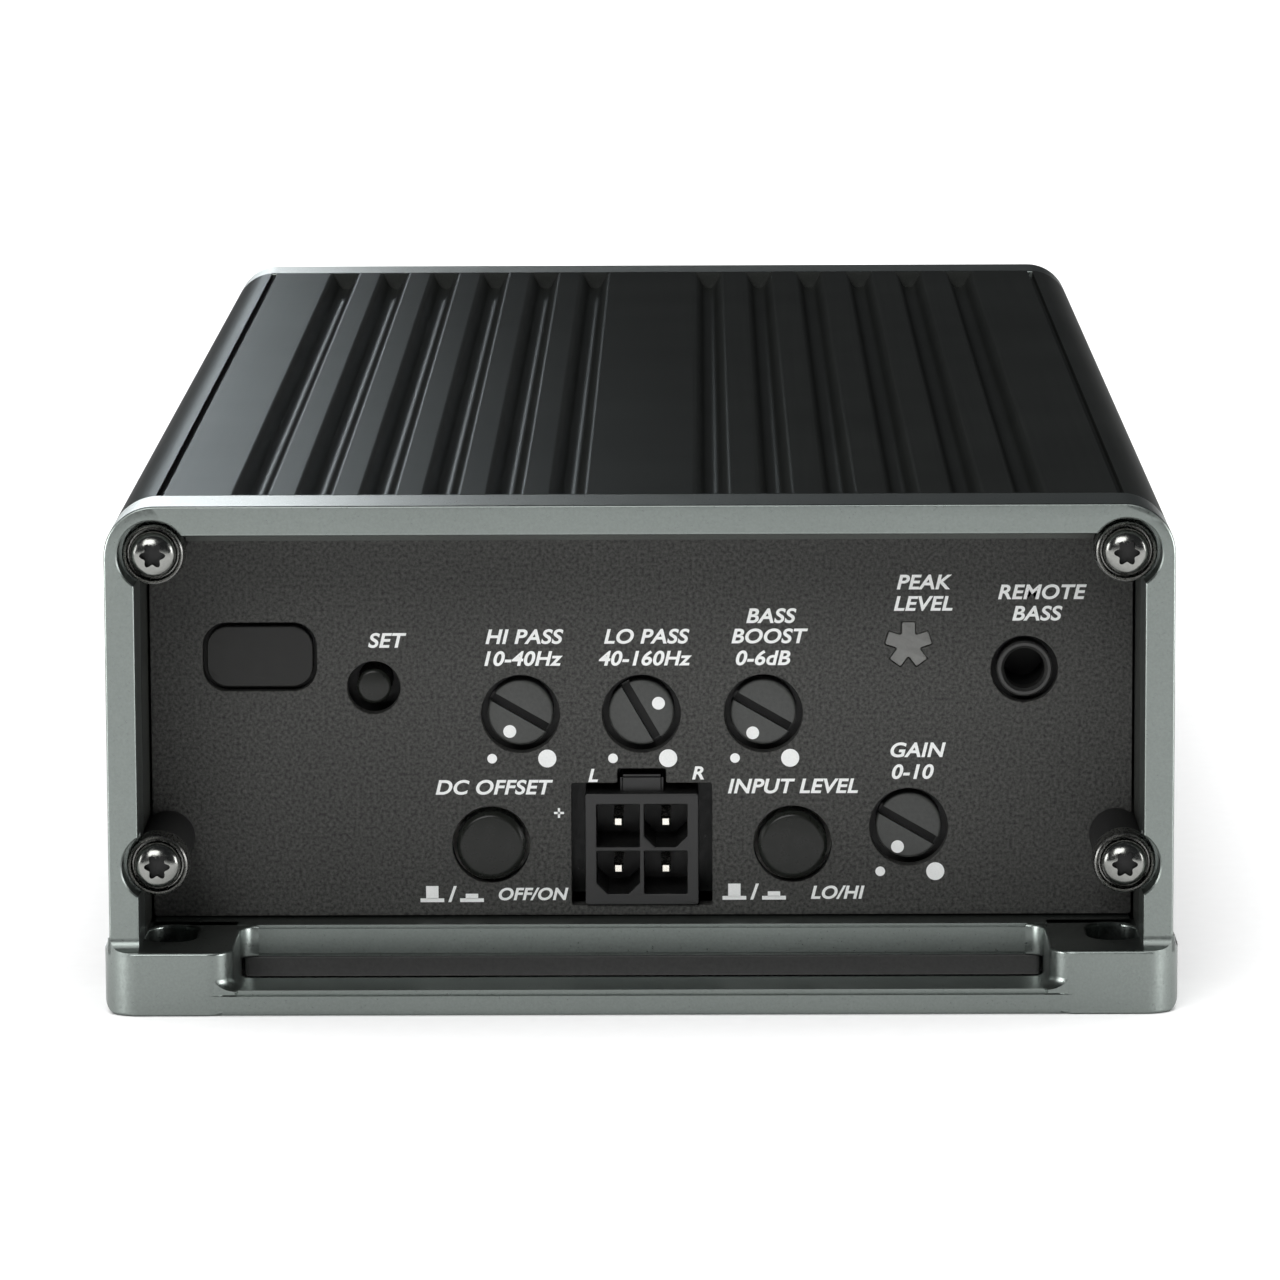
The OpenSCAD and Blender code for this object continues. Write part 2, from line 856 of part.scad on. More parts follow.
module speaker_terminal_strip()
  color([0.06, 0.06, 0.06])
    at_rear()
      terminal_strip(speaker_poles_x, speaker_half_w);

module terminal_contacts()
  color([0.8, 0.78, 0.7])
    at_rear()
      for (x = concat(power_poles_x, speaker_poles_x))
        difference() {
          union() {
            rod_y([x, terminal_z], sleeve_r, [terminal_seat, 21]);
            block([x - 3, x + 3], [21, 22.2], [terminal_z - sleeve_r, terminal_z + sleeve_r]);
            block([x - 1, x + 1], [21, 22.2], [main_top, terminal_z]);
          }
          rod_y([x, terminal_z], terminal_screw_r + running, [terminal_seat - 1, 20.4]);
        }

module terminal_screw(x)
  at_rear()
    difference() {
      seat = terminal_seat - terminal_gap;
      union() {
        block([x - 3.6, x + 3.6], [seat - 1, seat], [terminal_z - 3.6, terminal_z + 3.6]);
        rod_y([x, terminal_z], 3.3, [seat - 2.9, seat - 1]);
        rod_y([x, terminal_z], terminal_screw_r, [seat, 19.6]);
      }
      translate([x, y_at(seat - 3), terminal_z])
        rotate([-90, 0, 0])
          cross_recess(-0.1, 1.3);
    }

module power_screw_supply()
  color([0.8, 0.8, 0.8])
    terminal_screw(power_poles_x[0]);

module power_screw_ground()
  color([0.8, 0.8, 0.8])
    terminal_screw(power_poles_x[1]);

module power_screw_remote()
  color([0.8, 0.8, 0.8])
    terminal_screw(power_poles_x[2]);

module speaker_screw_plus()
  color([0.8, 0.8, 0.8])
    terminal_screw(speaker_poles_x[0]);

module speaker_screw_minus()
  color([0.8, 0.8, 0.8])
    terminal_screw(speaker_poles_x[1]);

module fuse_holder()
  color([0.06, 0.06, 0.06])
    at_rear()
      difference() {
        block([fuse_x - 11, fuse_x + 11], [terminal_seat, terminal_back], [14.5, 33.9]);
        for (z = fuses_z) {
          block([fuse_x - fuse_body[0] / 2 - 0.4, fuse_x + fuse_body[0] / 2 + 0.4],
                [terminal_seat - 1, fuse_setback + fuse_body[2] + 0.3],
                [z - fuse_body[1] / 2 - 0.4, z + fuse_body[1] / 2 + 0.4]);
          for (side = [-1, 1])
            block([fuse_x + side * blade_x - blade_w / 2 - 0.4, fuse_x + side * blade_x + blade_w / 2 + 0.4],
                  [terminal_seat, terminal_back + 1], [z - 1.3, z + 1.3]);
        }
      }

module fuse_contacts()
  color([0.8, 0.78, 0.7])
    at_rear()
      for (side = [-1, 1]) {
        x = fuse_x + side * blade_x;
        block([x - 2.6, x + 2.6], [21, 22], [main_top, 31]);
        for (z = fuses_z, spring = [-1, 1])
          block([x - 2.6, x + 2.6], [14, 21],
                [z + spring * (blade_t / 2 + 0.3) + (spring < 0 ? -0.5 : 0),
                 z + spring * (blade_t / 2 + 0.3) + (spring < 0 ? 0 : 0.5)]);
      }

module fuse(z) {
  block([fuse_x - fuse_body[0] / 2, fuse_x + fuse_body[0] / 2],
        [fuse_setback, fuse_setback + fuse_body[2]], [z - fuse_body[1] / 2, z + fuse_body[1] / 2]);
  for (side = [-1, 1])
    block([fuse_x + side * blade_x - blade_w / 2, fuse_x + side * blade_x + blade_w / 2],
          [fuse_setback + fuse_body[2], fuse_setback + fuse_body[2] + blade_l], [z - blade_t / 2, z + blade_t / 2]);
}

module fuse_lower()
  color([0.2, 0.6, 0.3])
    at_rear()
      fuse(fuses_z[0]);

module fuse_upper()
  color([0.2, 0.6, 0.3])
    at_rear()
      fuse(fuses_z[1]);

heatsink_case();
base_plate();
base_plate_screws();
front_end_frame();
rear_end_frame();
front_frame_screws();
rear_frame_screws();
front_cup_washers();
rear_cup_washers();
front_panel();
rear_panel();
window_cover();
indicator_lens();
indicator_led();
input_header_housing();
input_header_pins();
remote_jack();
trimmer_bodies();
knob_hi_pass();
knob_lo_pass();
knob_boost();
knob_gain();
latching_switch_bodies();
button_offset();
button_level();
setup_switch_body();
setup_button();
control_board();
main_board();
board_standoffs();
board_screws();
board_link();
transformer_core();
transformer_winding();
inductor_cores();
inductor_windings();
bulk_capacitors();
film_capacitors();
driver_chips();
transistors();
insulator_pads();
clamp_bars();
clamp_screws();
power_terminal_strip();
speaker_terminal_strip();
terminal_contacts();
power_screw_supply();
power_screw_ground();
power_screw_remote();
speaker_screw_plus();
speaker_screw_minus();
fuse_holder();
fuse_contacts();
fuse_lower();
fuse_upper();
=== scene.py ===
"""The looks of a compact car amplifier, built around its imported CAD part.

Lengths are in millimetres until a mesh is made. "Setback" is a distance behind the
front face; pieces at the power end are built the same way and turned half round.
"""

import math

import bmesh
import bpy
from mathutils import Matrix, Vector


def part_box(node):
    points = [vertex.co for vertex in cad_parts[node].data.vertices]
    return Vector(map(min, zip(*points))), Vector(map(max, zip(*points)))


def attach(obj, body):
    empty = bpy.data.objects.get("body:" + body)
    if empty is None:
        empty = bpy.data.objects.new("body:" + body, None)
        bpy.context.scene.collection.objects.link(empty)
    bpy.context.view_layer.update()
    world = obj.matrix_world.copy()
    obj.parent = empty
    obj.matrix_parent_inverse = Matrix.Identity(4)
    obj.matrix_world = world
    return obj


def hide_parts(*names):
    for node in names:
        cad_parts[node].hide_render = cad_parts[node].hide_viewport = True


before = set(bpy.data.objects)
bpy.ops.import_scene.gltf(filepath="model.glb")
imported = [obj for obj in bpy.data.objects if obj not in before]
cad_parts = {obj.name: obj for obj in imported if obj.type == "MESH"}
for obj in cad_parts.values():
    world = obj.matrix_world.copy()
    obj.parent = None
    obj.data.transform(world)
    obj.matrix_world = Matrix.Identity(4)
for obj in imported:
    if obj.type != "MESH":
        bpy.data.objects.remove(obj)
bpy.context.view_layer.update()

MM = 0.001
CHASSIS = "chassis"
HALF_TURN = Matrix.Rotation(math.pi, 4, "Z")


def node_box(node):
    """The node's corners in millimetres."""
    low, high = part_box(node)
    return low / MM, high / MM


case_low, case_high = node_box("heatsink_case")
front_low, front_high = node_box("front_end_frame")
panel_low, panel_high = node_box("front_panel")
plate_low, plate_high = node_box("base_plate")

HALF_W = case_high.x
HEIGHT = front_high.z
FRONT_Y = front_low.y
REAR_Y = -FRONT_Y
LENGTH = REAR_Y - FRONT_Y
BAR = 2.6
INNER_X = HALF_W - BAR
OPENING_TOP = HEIGHT - BAR
CORNER_R = 4.4
BAR_SETBACK = 1.2
FRAME_DEPTH = case_low.y - FRONT_Y
FOOT_H = 5.6
FOOT_INNER = 35.3
FOOT_BACK = 14.0
FOOT_X = front_high.x
WEB_BACK = front_high.y - FRONT_Y
LIP_SETBACK = 11.9
TIE_H = 2.2
TIE_DEPTH = 6.2
TIE_EDGE = 0.45
PANEL_BACK = panel_high.y - FRONT_Y
PANEL_SETBACK = PANEL_BACK - 1.6
PLATE_TOP = plate_high.z
ROOF_Z = HEIGHT - 4
SCREW_X = HALF_W - 4.2
SCREW_LOW_Z = 12.9
SCREW_HIGH_Z = HEIGHT - 4.3
SCREWS = [(x, z) for x in (-SCREW_X, SCREW_X) for z in (SCREW_LOW_Z, SCREW_HIGH_Z)]
RELIEF_R = 3.05
LEDGE_R = 2.5
LEDGE_SETBACK = 4.1
SLOT_X = 41.1
SLOT_SETBACK = 8.7
SLOT_HALF_W = 2.2
SLOT_HALF_L = 3.7


def at(setback):
    """The row's Y, in millimetres, of a setback from the front face."""
    return FRONT_Y + setback


# --- outlines ---


def arc(cx, cz, r, start, end, steps=16):
    """Points along an arc; angles are in degrees, anticlockwise from +X."""
    points = []
    for i in range(steps + 1):
        a = math.radians(start + (end - start) * i / steps)
        points.append((cx + r * math.cos(a), cz + r * math.sin(a)))
    return points


def circle(cx, cz, r, steps=48):
    return arc(cx, cz, r, 0, 360, steps)[:-1]


def rounded(corners, steps=6):
    """A closed outline from corners (x, z, radius), with each corner rounded."""
    points = []
    count = len(corners)
    for i, (x, z, r) in enumerate(corners):
        here = Vector((x, z))
        before = Vector(corners[i - 1][:2]) - here
        after = Vector(corners[(i + 1) % count][:2]) - here
        half = before.angle(after, 0) / 2 if before.length and after.length else 0
        if r <= 0 or half < 0.01:
            points.append((x, z))
            continue
        cut = min(r / math.tan(half), before.length * 0.49, after.length * 0.49)
        radius = cut * math.tan(half)
        middle = (before.normalized() + after.normalized()).normalized()
        centre = here + middle * (radius / math.sin(half))
        start = here + before.normalized() * cut - centre
        end = here + after.normalized() * cut - centre
        turn = start.angle_signed(end)
        for k in range(steps + 1):
            spun = start.copy()
            spun.rotate(Matrix.Rotation(-turn * k / steps, 2))
            points.append(tuple(centre + spun))
    return points


def rectangle(x0, x1, z0, z1, r, steps=6):
    return rounded([(x0, z0, r), (x1, z0, r), (x1, z1, r), (x0, z1, r)], steps)


# --- solids ---

# Outlines are turned off the axes while they are filled: the fill trips over points in level rows.
OFF_AXIS = Matrix.Rotation(0.37, 4, "Z")
# After a Boolean, points nearer than DOUBLES merge, and faces thinner than SLIVERS go.
DOUBLES = 0.002
SLIVERS = 0.0005


def new_object(name, mesh):
    obj = bpy.data.objects.new(name, mesh)
    bpy.context.scene.collection.objects.link(obj)
    return obj


def finished(name, made):
    """An object from a bmesh, which is then freed."""
    mesh = bpy.data.meshes.new(name)
    made.to_mesh(mesh)
    made.free()
    return new_object(name, mesh)


def smooth(obj, angle=32):
    """Smooth shading that keeps the edges sharper than the angle, in degrees."""
    obj.data.shade_smooth()
    obj.data.set_sharp_from_angle(angle=math.radians(angle))
    flatten = obj.modifiers.new("flatten", "WEIGHTED_NORMAL")
    flatten.keep_sharp = True
    return obj


def weld(mesh, dist=1e-4):
    """Merges the mesh's doubled points and turns its faces outwards."""
    made = bmesh.new()
    made.from_mesh(mesh)
    bmesh.ops.remove_doubles(made, verts=made.verts, dist=dist)
    bmesh.ops.recalc_face_normals(made, faces=made.faces)
    made.to_mesh(mesh)
    made.free()


def prism(name, loops, start, end, bevel=0.0, plan=False):
    """A solid with bevelled rims. The first loop is the outline, the others are holes.

    It runs along Y between two setbacks, or, as a plan, along Z between two heights.
    """
    curve = bpy.data.curves.new(name, "CURVE")
    curve.dimensions = "2D"
    curve.fill_mode = "BOTH"
    for loop in loops:
        spline = curve.splines.new("POLY")
        spline.points.add(len(loop) - 1)
        for point, (x, z) in zip(spline.points, loop):
            point.co = OFF_AXIS @ Vector((x, z, 0, 1))
        spline.use_cyclic_u = True
    curve.extrude = (end - start) / 2 - bevel
    curve.bevel_depth = bevel
    curve.bevel_resolution = 2
    curve.offset = -bevel
    maker = bpy.data.objects.new(name, curve)
    mesh = bpy.data.meshes.new_from_object(maker)
    bpy.data.objects.remove(maker)
    mesh.transform(OFF_AXIS.inverted())
    middle = (start + end) / 2
    if plan:
        mesh.transform(Matrix.Translation((0, 0, middle)))
    else:
        upright = Matrix.Rotation(math.pi / 2, 4, "X")
        mesh.transform(Matrix.Translation((0, at(middle), 0)) @ upright)
    weld(mesh)
    return new_object(name, mesh)


def bar(name, x, setback, z, bevel=0.2, segments=3):
    """A bevelled block between pairs of limits."""
    made = bmesh.new()
    bmesh.ops.create_cube(made, size=1)
    size = Vector((x[1] - x[0], setback[1] - setback[0], z[1] - z[0]))
    middle = Vector(((x[0] + x[1]) / 2, at((setback[0] + setback[1]) / 2), (z[0] + z[1]) / 2))
    for vert in made.verts:
        vert.co = Vector(a * b for a, b in zip(vert.co, size)) + middle
    if bevel > 0:
        bmesh.ops.bevel(made, geom=made.edges[:], offset=bevel, segments=segments, affect="EDGES")
    return finished(name, made)


def lathe(name, centre, profile, segments=64, upward=False):
    """A turned solid on a Y axis through (x, z), or on a Z axis through (x, setback).

    The profile is a closed run of (distance along the axis, radius).
    """
    made = bmesh.new()
    rings = []
    for along, r in profile:
        ring = []
        for i in range(segments if r > 0 else 1):
            a = 2 * math.pi * i / segments
            if upward:
                spot = (centre[0] + r * math.cos(a), at(centre[1]) + r * math.sin(a), along)
            else:
                spot = (centre[0] + r * math.cos(a), at(along), centre[1] + r * math.sin(a))
            ring.append(made.verts.new(spot))
        rings.append(ring)
    pairs = list(zip(rings, rings[1:]))
    if profile[0][1] > 0:
        pairs.append((rings[-1], rings[0]))
    for one, two in pairs:
        for i in range(segments):
            k = (i + 1) % segments
            if len(one) == 1 and len(two) == 1:
                continue
            if len(one) == 1:
                made.faces.new((one[0], two[i], two[k]))
            elif len(two) == 1:
                made.faces.new((one[i], two[0], one[k]))
            else:
                made.faces.new((one[i], two[i], two[k], one[k]))
    bmesh.ops.recalc_face_normals(made, faces=made.faces)
    return finished(name, made)


def rod(name, centre, start, end, r, segments=64, upward=False):
    """A plain round solid between two places on its axis."""
    return lathe(name, centre, [(start, 0), (start, r), (end, r), (end, 0)], segments, upward)


def tube(name, centre, start, end, bore, r, segments):
    """A round solid with a bore through it."""
    return lathe(name, centre, [(start, bore), (start, r), (end, r), (end, bore)], segments)


def dome(crown, brim, flat_r, r, steps):
    """The start of a lathe profile: a flat crown that rounds off to its brim."""
    points = [(crown, 0), (crown, flat_r)]
    for i in range(1, steps + 1):
        a = math.radians(90 * i / steps)
        points.append((crown + (brim - crown) * (1 - math.cos(a)), flat_r + (r - flat_r) * math.sin(a)))
    return points


def combine(base, others, operation="UNION"):
    """Applies exact Booleans to base and removes the other solids."""
    for other in others:
        step = base.modifiers.new("step", "BOOLEAN")
        step.operation = operation
        step.solver = "EXACT"
        step.object = other
    bpy.context.view_layer.update()
    graph = bpy.context.evaluated_depsgraph_get()
    mesh = bpy.data.meshes.new_from_object(base.evaluated_get(graph))
    cleaned = bmesh.new()
    cleaned.from_mesh(mesh)
    bmesh.ops.remove_doubles(cleaned, verts=cleaned.verts, dist=DOUBLES)
    bmesh.ops.dissolve_degenerate(cleaned, edges=cleaned.edges, dist=SLIVERS)
    cleaned.to_mesh(mesh)
    cleaned.free()
    base.modifiers.clear()
    base.data = mesh
    for other in others:
        bpy.data.objects.remove(other)
    return base


def carve(base, others):
    """Cuts solids out of the base."""
    return combine(base, others, "DIFFERENCE")


def paint(obj, material):
    """Gives a solid its material before it is joined to others."""
    obj.data.materials.append(material)
    return obj


def join(name, objects):
    """One object from several separate solids, keeping their materials."""
    made = bmesh.new()
    materials = []
    for obj in objects:
        first = len(made.faces)
        made.from_mesh(obj.data)
        made.faces.ensure_lookup_table()
        shift = len(materials)
        for face in made.faces[first:]:
            face.material_index += shift
        materials += list(obj.data.materials) or [None]
        bpy.data.objects.remove(obj)
    mesh = bpy.data.meshes.new(name)
    made.to_mesh(mesh)
    made.free()
    merged = []
    remap = []
    for material in materials:
        if material not in merged:
            merged.append(material)
        remap.append(merged.index(material))
    for face in mesh.polygons:
        face.material_index = remap[face.material_index]
    for material in merged:
        if material is not None:
            mesh.materials.append(material)
    return new_object(name, mesh)


def place(obj, material, body=CHASSIS, nodes=(), rear=False, angle=32):
    """Scales a finished piece to metres, and sets its material, body and CAD nodes."""
    turn = HALF_TURN if rear else Matrix.Identity(4)
    obj.data.transform(turn @ Matrix.Scale(MM, 4))
    if material is not None:
        obj.data.materials.clear()
        obj.data.materials.append(material)
    smooth(obj, angle)
    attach(obj, body)
    if nodes:
        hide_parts(*nodes)
    return obj


# --- materials ---

CLOUD_SCALE = 45.0  # broad clouds to a metre


def noise(tree, vector, scale, detail):
    """A noise texture's value."""
    texture = tree.nodes.new("ShaderNodeTexNoise")
    texture.inputs["Scale"].default_value = scale
    texture.inputs["Detail"].default_value = detail
    tree.links.new(vector, texture.inputs["Vector"])
    return texture.outputs["Fac"]


def swing(tree, value, middle, reach):
    """A noise's usual span, stretched to lie reach to either side of the middle."""
    span = tree.nodes.new("ShaderNodeMapRange")
    span.inputs["From Min"].default_value = 0.3
    span.inputs["From Max"].default_value = 0.7
    span.inputs["To Min"].default_value = middle - reach
    span.inputs["To Max"].default_value = middle + reach
    tree.links.new(value, span.inputs["Value"])
    return span.outputs["Result"]


def surface(name, colour, metallic=0.0, roughness=0.5, grain=0.3, speck=0.0, bump=0.0,
            rough_vary=0.05, stretch=(1, 1, 1), cloud=0.0, extra=None):
    """A procedural material: fine grain in colour, gloss and relief, plus broad clouding.

    grain is the size of a grain in millimetres; speck and cloud are how far the colour
    swings with the grain and with the broad clouding; stretch lengthens the grain.
    """
    material = bpy.data.materials.new(name)
    material.use_nodes = True
    tree = material.node_tree
    shader = tree.nodes["Principled BSDF"]
    shader.inputs["Metallic"].default_value = metallic
    for socket, value in (extra or {}).items():
        shader.inputs[socket].default_value = value
    where = tree.nodes.new("ShaderNodeTexCoord").outputs["Object"]
    mapping = tree.nodes.new("ShaderNodeMapping")
    per_metre = 1 / (grain * MM)
    mapping.inputs["Scale"].default_value = [per_metre / s for s in stretch]
    tree.links.new(where, mapping.inputs["Vector"])
    fine = noise(tree, mapping.outputs["Vector"], 1.0, 3.0)
    fine.node.inputs["Roughness"].default_value = 0.6
    broad = noise(tree, where, CLOUD_SCALE, 4.0)

    both = tree.nodes.new("ShaderNodeMath")
    both.operation = "MULTIPLY"
    tree.links.new(swing(tree, fine, 1, speck), both.inputs[0])
    tree.links.new(swing(tree, broad, 1, cloud), both.inputs[1])
    tint = tree.nodes.new("ShaderNodeVectorMath")
    tint.operation = "SCALE"
    tint.inputs[0].default_value = colour
    tree.links.new(both.outputs[0], tint.inputs["Scale"])
    tree.links.new(tint.outputs["Vector"], shader.inputs["Base Color"])
    tree.links.new(swing(tree, fine, roughness, rough_vary), shader.inputs["Roughness"])
    if bump > 0:
        relief = tree.nodes.new("ShaderNodeBump")
        relief.inputs["Strength"].default_value = bump
        relief.inputs["Distance"].default_value = grain * MM * 0.5
        tree.links.new(fine, relief.inputs["Height"])
        tree.links.new(relief.outputs["Normal"], shader.inputs["Normal"])
    return material


silver = surface("cast_silver", (0.19, 0.211, 0.20), metallic=1.0, roughness=0.32, grain=0.22,
                 speck=0.08, bump=0.04, cloud=0.03)
anodised = surface("anodised_black", (0.056, 0.060, 0.055), metallic=0.55, roughness=0.48,
                   grain=0.16, speck=0.14, rough_vary=0.015, stretch=(1, 200, 1), cloud=0.14)
panel_black = surface("panel_black", (0.042, 0.042, 0.039), roughness=0.7, grain=0.30,
                      speck=0.9, bump=0.5, cloud=0.08)
moulded_black = surface("moulded_black", (0.030, 0.030, 0.029), roughness=0.42, grain=0.4,
                        speck=0.12, bump=0.12)
smooth_black = surface("smooth_black", (0.010, 0.011, 0.009), roughness=0.30, grain=0.6,
                       speck=0.06, bump=0.03, extra={"Specular IOR Level": 0.3})
window_black = surface("window_black", (0.010, 0.010, 0.009), roughness=0.48, grain=0.5,
                       speck=0.10, bump=0.04, extra={"Specular IOR Level": 0.35})
socket_black = surface("socket_black", (0.014, 0.014, 0.014), roughness=0.40, grain=0.4,
                       speck=0.10, bump=0.05)
knob_black = surface("knob_black", (0.050, 0.052, 0.049), roughness=0.45, grain=0.35,
                     speck=0.15, bump=0.15)
plate_black = surface("plate_black", (0.045, 0.045, 0.044), roughness=0.5, grain=0.35,
                      speck=0.15, bump=0.25)
dark_steel = surface("dark_nickel", (0.24, 0.243, 0.23), metallic=1.0, roughness=0.19, grain=0.25,
                     speck=0.10, bump=0.05, rough_vary=0.05)
black_oxide = surface("black_oxide", (0.22, 0.22, 0.21), metallic=1.0, roughness=0.28, grain=0.25,
                      speck=0.2, bump=0.10)
# Painted shade: a near-black that stands in for the shade in hollows and set-back parts. It is used for the
# screw recess floors, the knob slot floors, the panel bosses and the jack body.
painted_shade_black = surface("painted_shade_black", (0.010, 0.010, 0.010), roughness=0.6, grain=0.2,
                       speck=0.2, bump=0.1)
bright_steel = surface("bright_zinc", (0.62, 0.62, 0.60), metallic=1.0, roughness=0.28, grain=0.3,
                       speck=0.08, bump=0.06)
tin = surface("tin_plate", (0.80, 0.77, 0.70), metallic=1.0, roughness=0.25, grain=0.2,
              speck=0.08, bump=0.05)
brass = surface("turned_brass", (0.70, 0.52, 0.24), metallic=1.0, roughness=0.3, grain=0.2,
                speck=0.08, bump=0.05)
copper = surface("enamelled_copper", (0.62, 0.24, 0.09), metallic=0.9, roughness=0.28, grain=0.3,
                 speck=0.12, bump=0.05)
ferrite = surface("coated_ferrite", (0.06, 0.18, 0.09), roughness=0.4, grain=0.3, speck=0.15, bump=0.2)
iron_powder = surface("coated_iron", (0.55, 0.42, 0.06), roughness=0.4, grain=0.3, speck=0.12, bump=0.2)
solder_mask = surface("solder_mask", (0.012, 0.014, 0.013), roughness=0.32, grain=0.5, speck=0.15,
                      bump=0.08, cloud=0.1)
sleeve = surface("capacitor_sleeve", (0.03, 0.03, 0.05), roughness=0.3, grain=0.4, speck=0.1, bump=0.05)
dipped_red = surface("dipped_red", (0.40, 0.07, 0.04), roughness=0.3, grain=0.5, speck=0.1, bump=0.1)
epoxy = surface("epoxy_black", (0.035, 0.035, 0.036), roughness=0.55, grain=0.2, speck=0.15, bump=0.3)
silicone = surface("silicone_pad", (0.50, 0.50, 0.46), roughness=0.7, grain=0.3, speck=0.08, bump=0.2)
mill_aluminium = surface("mill_aluminium", (0.70, 0.70, 0.71), metallic=1.0, roughness=0.35,
                         grain=0.2, speck=0.06, bump=0.1, stretch=(1, 20, 1))
nylon_white = surface("nylon_white", (0.66, 0.66, 0.62), roughness=0.5, grain=0.4, speck=0.05, bump=0.1)
ink = surface("white_ink", (0.95, 0.96, 0.95), roughness=0.6, grain=0.15, speck=0.04, bump=0.1)
lens_grey = surface("smoked_lens", (0.22, 0.22, 0.21), roughness=0.35, grain=0.4, speck=0.08, bump=0.05,
                    extra={"Transmission Weight": 0.25, "IOR": 1.49})
fuse_green = surface("fuse_green", (0.05, 0.42, 0.12), roughness=0.22, grain=0.5, speck=0.06, bump=0.04,
                     extra={"Transmission Weight": 0.45, "IOR": 1.5})
clear_epoxy = surface("clear_epoxy", (0.80, 0.80, 0.75), roughness=0.15, grain=0.5, speck=0.03, bump=0.02,
                      extra={"Transmission Weight": 0.8, "IOR": 1.5})
floor_pale = surface("pale_floor", (0.86, 0.86, 0.86), roughness=0.85, grain=2.0, speck=0.01, bump=0.02)


# --- case ---

GROOVES = 6
GROOVE_FIRST = 35.2
GROOVE_PITCH = 5.5
GROOVE_MOUTH = 2.9
GROOVE_POINT = 2.6
GROOVE_END = 0.35
EDGE_R = 0.5
FLOOR_R = 1.0
LINE_W = 0.5
LINE_D = 0.6
CASE_STEPS = 9
PAD_SETBACK = 25
PAD_DEEP = 3
PAD_Z = (16.5, 34)
FLANGE_SETBACK = 27
FLANGE_DEEP = 5
FLANGE_H = 3.6
SHANK_BORE_R = 1.55
SHANK_SETBACK = 26
CHANNEL_R = 3.4
SEAM = 0.02  # kept between faces that would otherwise lie in one plane
SUNK = 0.6  # how far a pad or a flange is sunk into the wall


def groove_corners(x):
    """Corners of one rounded V groove, from left to right along the top."""
    mouth = GROOVE_MOUTH / 2
    return [
        (x - mouth, HEIGHT, EDGE_R),
        (x, HEIGHT - GROOVE_POINT, FLOOR_R),
        (x + mouth, HEIGHT, EDGE_R),
    ]


def unrounded(points):
    """Corner entries for points that are already part of a curve."""
    return [(x, z, 0) for x, z in points]


def case_outline():
    """The case's section: an inverted U with grooves along its top."""
    side_line = HEIGHT - CORNER_R
    centre = HALF_W - CORNER_R
    half = LINE_W / 2
    skew = 4  # degrees left unrounded at each end of a corner, where the two fine lines run
    left = [
        (-INNER_X, PLATE_TOP, 0.2),
        (-HALF_W, PLATE_TOP, 0.3),
        (-HALF_W, side_line - half, 0.1),
        (-HALF_W + LINE_D, side_line - half, 0),
        (-HALF_W + LINE_D, side_line + half, 0),
    ]
    left += unrounded(arc(-centre, side_line, CORNER_R, 180 - skew, 90 + skew, 20))
    left += [
        (-centre - half, HEIGHT - LINE_D, 0),
        (-centre + half, HEIGHT - LINE_D, 0),
        (-centre + half, HEIGHT, 0.1),
    ]
    for i in range(GROOVES):
        left += groove_corners(-GROOVE_FIRST + GROOVE_MOUTH / 2 + i * GROOVE_PITCH)
    right = [(-x, z, r) for x, z, r in left[::-1]]
    roof = [(INNER_X, ROOF_Z, 0.5), (-INNER_X, ROOF_Z, 0.5)]
    return rounded(left + right + roof, CASE_STEPS)


def make_case():
    depth_end = LENGTH - FRAME_DEPTH
    case = prism("case_body", [case_outline()], FRAME_DEPTH, depth_end)
    pockets = []
    for x, z in SCREWS:
        for start, end in ((FRAME_DEPTH - 1, PANEL_BACK), (LENGTH - PANEL_BACK, depth_end + 1)):
            pockets.append(rod("pocket", (x, z), start, end, LEDGE_R, 40))
        pockets.append(rod("thread", (x, z), PANEL_BACK - 1, SHANK_SETBACK, SHANK_BORE_R, 24))
        rear_run = (LENGTH - SHANK_SETBACK, LENGTH - PANEL_BACK + 1)
        pockets.append(rod("thread", (x, z), *rear_run, SHANK_BORE_R, 24))
    for side in (-1, 1):
        side_x = sorted((side * (INNER_X - 1), side * (HALF_W + 1)))
        for start, end in ((FRAME_DEPTH - 1, FOOT_BACK), (LENGTH - FOOT_BACK, depth_end + 1)):
            pockets.append(bar("foot_room", side_x, (start, end), (0, FOOT_H), bevel=0))
    carve(case, pockets)
    solids = [case]
    flange_z = (PLATE_TOP, PLATE_TOP + FLANGE_H)
    for side in (-1, 1):
        wall = sorted((side * (INNER_X + SUNK), side * (INNER_X - PAD_DEEP)))
        solids.append(bar("pad", wall, (PAD_SETBACK, LENGTH - PAD_SETBACK), PAD_Z, bevel=0.3))
        wall = sorted((side * (INNER_X + SUNK), side * (INNER_X - FLANGE_DEEP)))
        solids.append(bar("flange", wall, (FLANGE_SETBACK, LENGTH - FLANGE_SETBACK), flange_z, bevel=0.3))
    for x, z in SCREWS:
        start, end = PANEL_BACK + SEAM, LENGTH - PANEL_BACK - SEAM
        solids.append(tube("channel", (x, z), start, end, SHANK_BORE_R, CHANNEL_R, 32))
    end_x = (-GROOVE_FIRST - 1, GROOVE_FIRST + 1)
    end_z = (HEIGHT - GROOVE_POINT, HEIGHT - 0.03)
    for start in (FRAME_DEPTH + SEAM, depth_end - SEAM - GROOVE_END):
        solids.append(bar("groove_end", end_x, (start, start + GROOVE_END), end_z, bevel=0))
    place(join("case_extrusion", solids), anodised, nodes=["heatsink_case"], angle=28)


make_case()


# --- end frames ---


